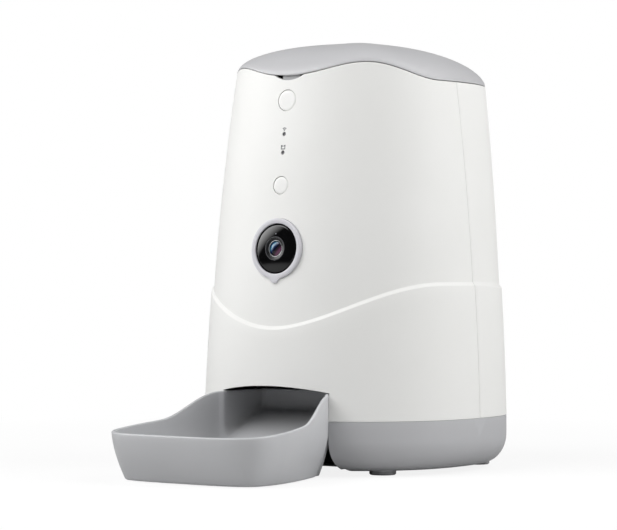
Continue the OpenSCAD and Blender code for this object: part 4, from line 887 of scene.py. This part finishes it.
def shade_wall(piece, shift):
    mesh = piece.data
    directions = [corner.vector.copy() for corner in mesh.corner_normals]
    corrected = 0
    for face in mesh.polygons:
        points = [mesh.vertices[i].co / MM - Vector((0, AXIS_Y + shift, 0)) for i in face.vertices]
        if all(abs(plan_share(*point) - 1) < WALL_TOLERANCE for point in points):
            for loop, point in zip(face.loop_indices, points):
                directions[loop] = wall_direction(*point)
            corrected += 1
    mesh.normals_split_custom_set(directions)
    print(piece.name, "- shaded by formula:", corrected, "faces")


shade_wall(front_half, -SEAM / 2)

# %% [markdown]
# ## The lid
#
# The lid is a shallow dome whose lower edge follows the wave of the rim. It is drawn as rings that shrink
# while they climb, fast at first and then flat. A tab on its underside stands behind the finger notch.

# %% Lid dome
LID_TOP, LID_WALL, LID_GAP, LID_FULLNESS = 309.9, 2.5, 0.5, 0.58
LID_COLUMNS, LID_ROWS, LID_CLIMB = 216, 36, 88
TAB_HALF, TAB_DROP, TAB_STEPS = 7.6, 3.8, 24


def lid_point(turn, climb, drop):
    """A point on the lid: climb is 0 at the rim and 90 at the middle."""
    edge = rim_height(turn) + LID_GAP
    x, y, _ = body_point(turn, edge, -drop)
    c, s = cos(radians(climb)), sin(radians(climb))
    return x * c, y * c, edge + (LID_TOP - drop - edge) * s ** (2 * LID_FULLNESS)


def lid_dome():
    """Rings down the inside, round the rim and up the outside."""
    climbs = spaced(0, LID_CLIMB, LID_ROWS)
    rings = [(climb, LID_WALL) for climb in reversed(climbs)]
    rings += [(0, LID_WALL - 0.4), (0, 0.5), (0, 0.15)]
    rings += [(climb, 0) for climb in climbs[1:]]
    turns = full_turn(LID_COLUMNS)
    return skin("lid_dome", [[lid_point(t, climb, drop) for t in turns] for climb, drop in rings])


def finger_tab():
    """The tab behind the notch, following the curve of the front wall."""
    back, face = -WALL - 1.9, -WALL - 0.3
    rows = []
    for out, up in ((back, 4.5), (back, -TAB_DROP), (face - 0.6, -TAB_DROP), (face, -1.6), (face, 3)):
        height = RIM_FRONT + up
        half, front = half_width(height), front_depth(height)
        row = []
        for x in spaced(-TAB_HALF, TAB_HALF, TAB_STEPS):
            depth = front * (1 - abs(x / half) ** FRONT_SQUARE) ** (1 / FRONT_SQUARE)
            row.append((x, -depth - out, height))
        rows.append(row)
    return skin("lid_finger_tab", rows, closed_rows=False, ring=True)


finish_piece(lid_dome(), "lid_grey", "lid", body="lid_set")
finish_piece(finger_tab(), "lid_grey", body="lid_set")

# %% [markdown]
# ## The base
#
# The grey base is a tub with a large rounding along its lower edge. A slot is cut into its front for the
# bowl, with walls on three sides, and an opening in its floor takes the battery door.

# %% Base outline
BASE_UNDER, BASE_WALL, BASE_ROUND, BASE_ROUND_REAR = 2.8, 2.6, 22, 5
BASE_COLUMNS, BASE_ROUND_ROWS, BASE_EDGE = 240, 20, 0.15


def base_solid(name, inset, under, top):
    """The base with its rounded lower edge, moved in by a distance. The rear rounds in less."""
    step = skirt_step(BASE_TOP) - inset
    radius = BASE_ROUND - inset
    curve = spaced(0, pi / 2, BASE_ROUND_ROWS)
    levels = [(radius * (1 - sin(a)), under + radius * (1 - cos(a))) for a in curve]
    levels += [(0, mix(under + radius, top, 0.5)), (0, top - BASE_EDGE), (BASE_EDGE, top)]
    rows = []
    for drawn, z in levels:
        half, front = (size(BASE_TOP) + step - drawn for size in (half_width, front_depth))
        rear = REAR_DEPTH + step - drawn * BASE_ROUND_REAR / BASE_ROUND
        rows.append([(*section(t, half, front, rear), z) for t in full_turn(BASE_COLUMNS)])
    return skin(name, rows)


print("base edge rounded by", BASE_ROUND, "mm, at the rear by", BASE_ROUND_REAR, "mm")

# %% Pads, seats and screw holes
FOOT_R, FOOT_X, FOOT_FRONT, FOOT_REAR, PAD_TOP = 9.5, 63.5, 57.5, 65, 7.4
POST_X, POST_Y, LEG_X, LEG_FRONT, LEG_REAR = 74, 34, 63, 30, 48
SEAT_POST_R, SEAT_TOP = 5, 7.5
SCREW_HEAD_R, SCREW_HEAD_TOP, SCREW_HOLE_R = 3.3, 4.9, 1.7
FOOT_PLACES = [(side * FOOT_X, y) for side in (-1, 1) for y in (-FOOT_FRONT, FOOT_REAR)]
SCREW_ROW = ((POST_X, -POST_Y), (POST_X, POST_Y), (LEG_X, -LEG_FRONT), (LEG_X, LEG_REAR))
SCREW_PLACES = [(side * x, y) for side in (-1, 1) for x, y in SCREW_ROW]


def upright_turned(places, profile, steps=72):
    """Turned shapes with upright axes at some places: profile points are (radius, height)."""
    pieces = []
    for x, y in places:
        rows = [[(x + dx, y + dy, z) for dx, dy in circle(r, steps)] for r, z in profile]
        pieces.append(skin("cutter", rows))
    return pieces


def foot_pads():
    """Four round pads under the rounded edge, on which the rubber feet sit."""
    return upright_turned(FOOT_PLACES, ((FOOT_R, BASE_UNDER), (FOOT_R, PAD_TOP)))


def screw_seats():
    """Raised seats on the floor for the posts of the body and the legs of the wheel frame."""
    profile = ((SEAT_POST_R, BELOW_ALL), (SEAT_POST_R, SEAT_TOP))
    return upright_turned(SCREW_PLACES, profile)


def screw_holes():
    """Stepped holes that sink the screw heads in the floor."""
    head, hole = SCREW_HEAD_R, SCREW_HOLE_R
    profile = ((head, BELOW_ALL), (head, SCREW_HEAD_TOP), (hole, SCREW_HEAD_TOP), (hole, SEAT_TOP + 1))
    return upright_turned(SCREW_PLACES, profile, steps=40)


print("base:", len(FOOT_PLACES), "feet and", len(SCREW_PLACES), "screws")

# %% Base tub
RECESS_HALF, RECESS_FRONT, RECESS_REAR, RECESS_WALL = 49.8, 84.2, 48, 2.6
DOOR_HALF, DOOR_FRONT, DOOR_REAR = 51.3, 6.4, 70.6
TONGUE_HALF, TONGUE_FRONT, TONGUE_TOP = 8, -5.4, 4.1
INLET_R, INLET_Z, INLET_INSIDE = 5.8, 24, 86
ABOVE_BASE, ABOVE_FLOOR, HOLLOW_OVER = 60, 10, 6


def floor_cutter(half, front, rear, top):
    """A block through the base's floor, used only for cutting."""
    ring = [(-half, front), (half, front), (half, rear), (-half, rear)]
    return skin("cutter", [[(x, y, z) for x, y in ring] for z in (BELOW_ALL, top)])


def base_tub():
    tub = base_solid("base_tub", 0, BASE_UNDER, BASE_TOP)
    hollow = base_solid("base_hollow", BASE_WALL, BASE_UNDER + BASE_WALL, BASE_TOP + HOLLOW_OVER)
    side, end = RECESS_HALF + RECESS_WALL, -RECESS_REAR + RECESS_WALL
    cut(hollow, floor_cutter(side, BEFORE_ALL, end, BASE_TOP), *foot_pads(), *screw_seats())
    cut(tub, *foot_pads(), operation="UNION")
    cut(
        tub,
        hollow,
        floor_cutter(DOORWAY_HALF, BEFORE_ALL, -RECESS_REAR, ABOVE_BASE),
        floor_cutter(RECESS_HALF, -RECESS_FRONT, -RECESS_REAR - 0.01, ABOVE_BASE),
        floor_cutter(DOOR_HALF, DOOR_FRONT, DOOR_REAR, ABOVE_FLOOR),
        floor_cutter(TONGUE_HALF, TONGUE_FRONT, DOOR_FRONT + 0.2, TONGUE_TOP),
        *screw_holes(),
    )
    inlet = [(x, INLET_Z + z) for x, z in circle(INLET_R, 48)]
    return cut(tub, prism(inlet, BEHIND_ALL, INLET_INSIDE))


finish_piece(base_tub(), "base_grey", "base_tray")

# %% [markdown]
# ## The bowl
#
# The bowl is a scoop: a rounded square front, sides that swing in to a narrow neck under the body, and a rim
# that climbs in an S to the neck. Inside, a ramp leads the food down. The rim is a rounded bead, which
# catches the light.

# %% Bowl outline
BOWL_REACH, BOWL_TIP, TIP_SQUARE = 216, 40, 3.5
BOWL_HALF, NECK_HALF, SIDE_BEND = 68, 46, 1.4
FOLD, FOLD_SOFT, BOWL_REAR, REAR_CORNER, REAR_BOW = 99, 1.3, 52, 6, 1
BOWL_RIM_FRONT, RIM_SHOULDER, BOWL_RIM_NECK, RAMP_TOP = 33, 45, 57.8, 45.5
RIM_LEAD, RIM_RUN, RIM_SINK = 5, 46, 1.3
BOWL_WALL, BOWL_TUCK, BOWL_LIFT, RAMP_START = 2.4, 9.7, 0.3, 150
SHOULDER, SHOULDER_START, SHOULDER_RUN = 2.0, 0.6, 4.5
TIP_START = BOWL_REACH - BOWL_TIP
SIDE_STOPS = ((TIP_START, FOLD + 4, 36), (FOLD + 4, FOLD - 4, 24), (FOLD - 4, BOWL_REAR + REAR_CORNER, 16))


def side_width(y):
    """Half width of the sides: straight along the neck, then running out from a soft fold."""
    past = -y - FOLD
    past = (past + hypot(past, 2 * FOLD_SOFT)) / 2
    left = max(0.0, 1 - past / (TIP_START - FOLD))
    return mix(BOWL_HALF, NECK_HALF, left**SIDE_BEND)


def bowl_outline():
    """The rim outline from above, counter-clockwise from the front middle."""
    half = []
    for a in spaced(0, pi / 2, 32):
        c, s = (signed_power(part, 2 / TIP_SQUARE) for part in (cos(a), sin(a)))
        half.append((BOWL_HALF * s, -TIP_START - BOWL_TIP * c))
    for front, rear, steps in SIDE_STOPS:
        half += [(side_width(-y), -y) for y in spaced(front, rear, steps)[1:]]
    for a in spaced(0, pi / 2, 12)[1:]:
        depth = REAR_BOW + (REAR_CORNER - REAR_BOW) * (1 - sin(a))
        half.append((NECK_HALF - REAR_CORNER * (1 - cos(a)), -BOWL_REAR - depth))
    for k in spaced(1, 0, 8)[1:]:
        half.append(((NECK_HALF - REAR_CORNER) * k, -BOWL_REAR - REAR_BOW * k * k))
    return half + [(-x, y) for x, y in reversed(half[1:-1])]


OUTLINE = bowl_outline()
print("bowl outline:", len(OUTLINE), "points")

# %% Bowl heights and swings
FLOOR_EXTRA, TUCK_BEND = 0.5, 1.6


def outward(j):
    """The outward direction at one point of the outline."""
    (x0, y0), (x1, y1) = OUTLINE[j - 1], OUTLINE[(j + 1) % len(OUTLINE)]
    length = hypot(x1 - x0, y1 - y0)
    return (y1 - y0) / length, (x0 - x1) / length


OUTWARD = [outward(j) for j in range(len(OUTLINE))]


def bowl_rim(y):
    """Height of the rim: a gentle slope along the bowl, and a swing up to the neck behind it."""
    left = clamp((y + BOWL_REACH) / (BOWL_REACH - FOLD))
    slope = mix(BOWL_RIM_FRONT, RIM_SHOULDER, left**RIM_SINK)
    return slope + (BOWL_RIM_NECK - RIM_SHOULDER) * (1 - ease((-y - FOLD - RIM_LEAD) / RIM_RUN))


def ramp_height(y):
    floor = BOWL_WALL + BOWL_LIFT + FLOOR_EXTRA
    return max(floor, mix(floor, RAMP_TOP, (y + RAMP_START) / (RAMP_START - BOWL_REAR)))


def bowl_tuck(z):
    return BOWL_TUCK * max(0.0, 1 - z / BOWL_RIM_FRONT) ** TUCK_BEND


def shoulder(x, y):
    """How far the sides swing out just in front of the doorway."""
    left = clamp((y + TIP_START) / (TIP_START - FOLD))
    return copysign(SHOULDER * left * ease((-y - FOLD - SHOULDER_START) / SHOULDER_RUN), x)


print("bowl rim climbs from", bowl_rim(-BOWL_REACH), "to", bowl_rim(-BOWL_REAR), "mm")

# %% Bowl surfaces
SIDE_HEIGHTS = (0.9, 2, 4, 7, 10, 14, 18, 22, 26, 29)
INSIDE_STEPS = ((0.2, 0), (0.4, 0), (0.6, 0), (0.75, 0.1), (0.88, 0.7), (0.96, 1.8), (1, 3.5))
FOOT_INSET, BEAD_STEPS = 0.6, 8


def bowl_row(inset_and_height):
    """One row round the bowl: a function gives each outline point's distance in and height."""
    row = []
    for (x, y), (nx, ny) in zip(OUTLINE, OUTWARD):
        inset, z = inset_and_height(y)
        row.append((x + shoulder(x, y) - inset * nx, y - inset * ny, z))
    return row


def inside_row(share, fillet):
    row = []
    for (x, y), (nx, ny) in zip(OUTLINE, OUTWARD):
        inset = BOWL_WALL + bowl_tuck(mix(bowl_rim(y), ramp_height(y), share)) + fillet
        px, py = x + shoulder(x, y) - inset * nx, y - inset * ny
        row.append((px, py, mix(bowl_rim(y), ramp_height(py), share)))
    return row


def scoop():
    rows = [bowl_row(lambda y: (bowl_tuck(BOWL_LIFT) + FOOT_INSET, BOWL_LIFT))]
    rows += [bowl_row(lambda y, z=z: (bowl_tuck(z), z)) for z in SIDE_HEIGHTS]
    for a in spaced(0, pi, BEAD_STEPS):
        inset, drop = ((1 - part) * BOWL_WALL / 2 for part in (cos(a), sin(a)))
        rows.append(bowl_row(lambda y, inset=inset, drop=drop: (inset, bowl_rim(y) - drop)))
    rows += [inside_row(share, fillet) for share, fillet in INSIDE_STEPS]
    return skin("scoop_bowl", rows, strips=True)


def under_ramp(front, rear, half):
    """The space under the ramp between two places, used for cutting."""
    top_front, top_rear = ramp_height(-front) - BOWL_WALL, ramp_height(-rear) - BOWL_WALL
    side = [(-front, BELOW_ALL), (-rear, BELOW_ALL), (-rear, top_rear), (-front, top_front)]
    return skin("cutter", [[(x, y, z) for y, z in side] for x in (-half, half)])


bowl = scoop()
cut(
    bowl,
    under_ramp(RAMP_START - 14, FOLD - 3, NECK_HALF - BOWL_TUCK - BOWL_WALL),
    under_ramp(FOLD - 2, BOWL_REAR - 1, NECK_HALF + 1),
)
finish_piece(bowl, "bowl_grey", "bowl", body="bowl_body")

# %% [markdown]
# ## The feeder's camera
#
# The camera sits in a pale ring that comes to a small point below, like a drop, drawn as one outline. Inside
# it is a domed black window, and in its middle the lens: a dark barrel with polished steps round a coated
# glass.

# %% Bezel
BEZEL_PROUD, WINDOW_R = 1.4, 17.8
SEAT_R, SEAT_DEPTH, BEZEL_BACK = 15.5, 3.4, 5.9
POINT_LENGTH, POINT_WIDTH, POINT_BLUNT = 3.0, 8.4, 2.6


def drop_outline(radius, share, steps=360):
    """A circle drawn out to a point at the bottom; share sets how much of the point it has."""
    ring = []
    for turn in full_turn(steps):
        off = from_front(turn) / POINT_WIDTH
        r = radius + share * POINT_LENGTH * exp(-(off**POINT_BLUNT))
        ring.append((r * cos(radians(turn)), r * sin(radians(turn))))
    return ring


def drop_ring():
    """Rings of (radius, share of the point, out), from the back over the front to the window's seat."""
    outer, inner, face, seat = BEZEL_R, WINDOW_R, BEZEL_PROUD, BEZEL_PROUD - SEAT_DEPTH
    levels = [
        (SEAT_R, 0, -BEZEL_BACK), (outer, 0, -BEZEL_BACK), (outer, 0, 0.05), (outer, 1, 0.15),
        (outer, 1, face - 0.3), (outer - 0.08, 1, face - 0.12), (outer - 0.3, 1, face),
        (outer - 1.6, 0.8, face), (inner + 0.9, 0, face), (inner + 0.4, 0, face - 0.15),
        (inner + 0.1, 0, face - 0.6), (inner + 0.1, 0, seat), (SEAT_R, 0, seat),
    ]
    rows = [[on_front(LENS_Z, x, up, out) for x, up in drop_outline(r, share)] for r, share, out in levels]
    return skin("camera_drop_ring", rows, ring=True)


finish_piece(drop_ring(), "bezel_grey", "camera_bezel")

# %% [markdown]
# The window is polished black plastic with a clear coat, so it mirrors the card. On the lens glass the blue to
# magenta reflection of its coating is painted into the colour across the glass. The small dot above the lens is
# the light sensor.

# %% Window and lens finishes
BARREL_R, LENS_R = 8.5, 5.3
# Painted reflection: the stops below are the coating's reflected blue, teal and magenta, painted across the
# lens along a turned line.
COATING_REFLECTION_TURN = radians(42)
COATING_REFLECTION_TINTS = (
    (0.0, (0.03, 0.07, 0.18)),
    (0.22, (0.06, 0.20, 0.31)),
    (0.36, (0.006, 0.018, 0.08)),
    (0.52, (0.003, 0.004, 0.006)),
    (0.66, (0.03, 0.018, 0.027)),
    (0.82, (0.156, 0.054, 0.114)),
    (1.0, (0.06, 0.054, 0.05)),
)
CLEAR_COAT = {"Specular IOR Level": 0.0, "Coat Weight": 1.0, "Coat Roughness": 0.06}


def drifting(name, scale, low, high, rough, extra=None):
    """A smooth finish whose colour and gloss drift slowly between two ends."""
    material, tree = new_material(name)
    drift = use_group(tree, DRIFT, Scale=scale)["Mask"]
    show_surface(tree, blend_colours(tree, drift, low, high), remap(tree, drift, new=rough), extra=extra)
    return material


# Painted reflection: the glass's base colour is a ramp of its coating's reflections, laid across the lens along
# a turned line.
def painted_reflection_glass():
    material, tree = new_material("painted_reflection_glass")
    inputs = {"Vector": own_place(tree), "Location": place(*on_front(LENS_Z, 0, 0, 0))}
    inputs.update({"Rotation": (0, COATING_REFLECTION_TURN, 0), "Scale": (LENS_R * MM,) * 3})
    turned = shader(tree, "Mapping", inputs, vector_type="TEXTURE").outputs["Vector"]
    across = shader(tree, "SeparateXYZ", {0: turned}).outputs["X"]
    reflection_tints = shader(tree, "ValToRGB", {"Fac": remap(tree, across, old=(-1.0, 1.0))})
    stops = reflection_tints.color_ramp.elements
    while len(stops) < len(COATING_REFLECTION_TINTS):
        stops.new(0.5)
    for stop, (at, colour) in zip(stops, COATING_REFLECTION_TINTS):
        stop.position = at
        stop.color = (*colour, 1.0)
    show_surface(tree, reflection_tints.outputs["Color"], gloss=0.08, extra={"Specular IOR Level": 0.3})
    return material


finishes["window_black"] = drifting(
    "polished_black", 90.0, (0.002, 0.002, 0.0022), (0.003, 0.003, 0.0034), (0.05, 0.09), CLEAR_COAT
)
finishes["lens_glass"] = painted_reflection_glass()
finishes["light_pipe"] = drifting("clear_tip", 400.0, (0.20, 0.20, 0.21), (0.28, 0.28, 0.29), (0.12, 0.2))
print("all finishes:", len(finishes))

# %% Window, lens and sensor
DOME_R, DOME_RISE, DOME_STEPS = 16.6, 2.0, 16
BARREL_FACE, BARREL_LENGTH = BEZEL_PROUD + 0.8, 11
LENS_SUNK, LENS_EDGE, LENS_RISE = 1.6, 3, 1.4
SENSOR_UP, SENSOR_R = 10.4, 0.6


def dome_out(r):
    return BEZEL_PROUD - 0.75 + DOME_RISE * (1 - (r / DOME_R) ** 2)


def window_profile():
    """A flat black margin, a small step and a dome."""
    seat, edge, inner = BEZEL_PROUD - SEAT_DEPTH, BEZEL_PROUD - 0.9, BARREL_R + 0.1
    margin = [(inner, seat), (WINDOW_R, seat), (WINDOW_R, edge), (DOME_R + 0.2, edge)]
    return margin + [(r, dome_out(r)) for r in spaced(DOME_R, inner, DOME_STEPS)]


def barrel_profile():
    outer, inner, face, back = BARREL_R, LENS_R + 0.05, BARREL_FACE, BARREL_FACE - BARREL_LENGTH
    return [
        (inner, back), (outer, back), (outer, face - 0.2), (outer - 0.15, face), (outer - 0.8, face),
        (outer - 1.0, face - 0.4), (inner + 0.85, face - 0.7), (inner, face - 0.9),
    ]


def lens_profile():
    edge = BARREL_FACE - LENS_SUNK
    crown = spaced(LENS_R, 0, DOME_STEPS)[:-1]
    return [(LENS_R, edge - LENS_EDGE), *[(r, edge + LENS_RISE * (1 - (r / LENS_R) ** 2)) for r in crown]]


def sensor_profile():
    top = dome_out(SENSOR_UP) + 0.2
    return [(SENSOR_R, 0.2), (SENSOR_R, top - 0.15), (0.45, top - 0.05), (0.15, top)]


def trim_ring(name, radius, width, out, slot):
    """A thin half-round ring."""
    half, arc = width / 2, spaced(0, pi, 8)
    profile = [(radius + half * cos(a), out + half * sin(a)) for a in arc]
    finish_piece(turned_on_front(name, LENS_Z, profile, ring=True), slot)


window = turned_on_front("camera_window_dome", LENS_Z, window_profile(), ring=True)
barrel = turned_on_front("lens_barrel_rings", LENS_Z, barrel_profile(), ring=True)
lens = turned_on_front("lens_front_glass", LENS_Z, lens_profile())
finish_piece(window, "window_black", "camera_window")
finish_piece(barrel, "lens_black", "lens_barrel")
finish_piece(lens, "lens_glass", "lens_glass")
trim_ring("lens_outer_ring", BARREL_R - 0.4, 0.7, BARREL_FACE - 0.1, "gearbox_plastic")
trim_ring("lens_inner_ring", LENS_R + 0.35, 0.5, BARREL_FACE - 0.8, "steel")
sensor = turned_on_front("light_sensor_tip", LENS_Z, sensor_profile(), steps=24, centre_up=SENSOR_UP)
finish_piece(sensor, "rotor_grey")

# %% [markdown]
# ## Buttons and lights
#
# The round buttons lie almost flush with the wall and show only as thin rings. The lights are the tips of
# clear light pipes, sunk a little in their holes.

# %% Buttons and light tips


def key_cap(name, radius, up):
    """A cap with a stem, a flange behind the wall, a rounded edge and a slightly domed face."""
    flange, wide = -WALL - 0.5, radius + 1.2
    profile = [
        (2.5, flange - 1.4), (2.5, flange - 0.8), (wide, flange - 0.8), (wide, flange), (radius, flange),
        (radius, -0.75), (radius - 0.12, -0.5), (radius - 0.4, -0.33), (radius * 0.7, -0.26),
        (radius * 0.3, -0.25),
    ]
    return turned_on_front(name, PANEL_Z, profile, centre_up=up)


def light_tip(name, up):
    profile = [(LIGHT_R, -9.2), (LIGHT_R, -0.55), (1.2, -0.75), (0.8, -0.95), (0.3, -1.05)]
    return turned_on_front(name, PANEL_Z, profile, steps=40, centre_up=up)


feed_cap = key_cap("feed_key_cap", FEED_R, BUTTON_UP)
pairing_cap = key_cap("pairing_key_cap", PAIR_R, -BUTTON_UP)
finish_piece(feed_cap, "button_white", "feed_button", body="feed_key")
finish_piece(pairing_cap, "button_white", "pairing_button", body="pairing_key")
finish_piece(light_tip("upper_light_tip", LIGHTS_UP[0]), "light_pipe", "light_pipes")
finish_piece(light_tip("lower_light_tip", LIGHTS_UP[1]), "light_pipe")

# %% [markdown]
# A small sign is printed over each light: arcs for the wireless link, and a face with two ears for the food.
# Each is a thin flat shape on the wall.

# %% Printed signs
SIGNS_UP = (9.9, -3.2)
INK_OUT = (0.1, 0.2)
ARC_CENTRE, ARC_SPAN, ARC_WIDTH = -1.25, 52, 0.45
FACE_OUTSIDE = ((-0.15, 1.0), (-1.9, 1.7), (-1.9, -1.6), (1.9, -1.6), (1.9, 1.7), (0.15, 1.0))
FACE_INSIDE = ((0.15, 0.4), (1.3, 0.4), (1.3, -1.05), (-1.3, -1.05), (-1.3, 0.4), (-0.15, 0.4))


def ink(name, outline, centre):
    """A flat print with an outline of (across, up) points round a place on the panel."""
    rows = [[on_front(PANEL_Z, x, centre + up, out) for x, up in outline] for out in INK_OUT]
    return finish_piece(skin(name, rows), "rotor_grey")


def arc_outline(inner, outer):
    turns = [radians(90 + turn) for turn in spaced(-ARC_SPAN, ARC_SPAN, 16)]
    ends = [(outer, a) for a in turns] + [(inner, a) for a in reversed(turns)]
    return [(r * cos(a), ARC_CENTRE + r * sin(a)) for r, a in ends]


def dot_outline(radius):
    return [(x, ARC_CENTRE + up) for x, up in circle(radius, 24)]


ink("link_sign_outer_arc", arc_outline(2.2 - ARC_WIDTH, 2.2), SIGNS_UP[0])
ink("link_sign_inner_arc", arc_outline(1.3 - ARC_WIDTH, 1.3), SIGNS_UP[0])
ink("link_sign_dot", dot_outline(0.42), SIGNS_UP[0])
ink("food_sign_face", FACE_OUTSIDE + FACE_INSIDE, SIGNS_UP[1])
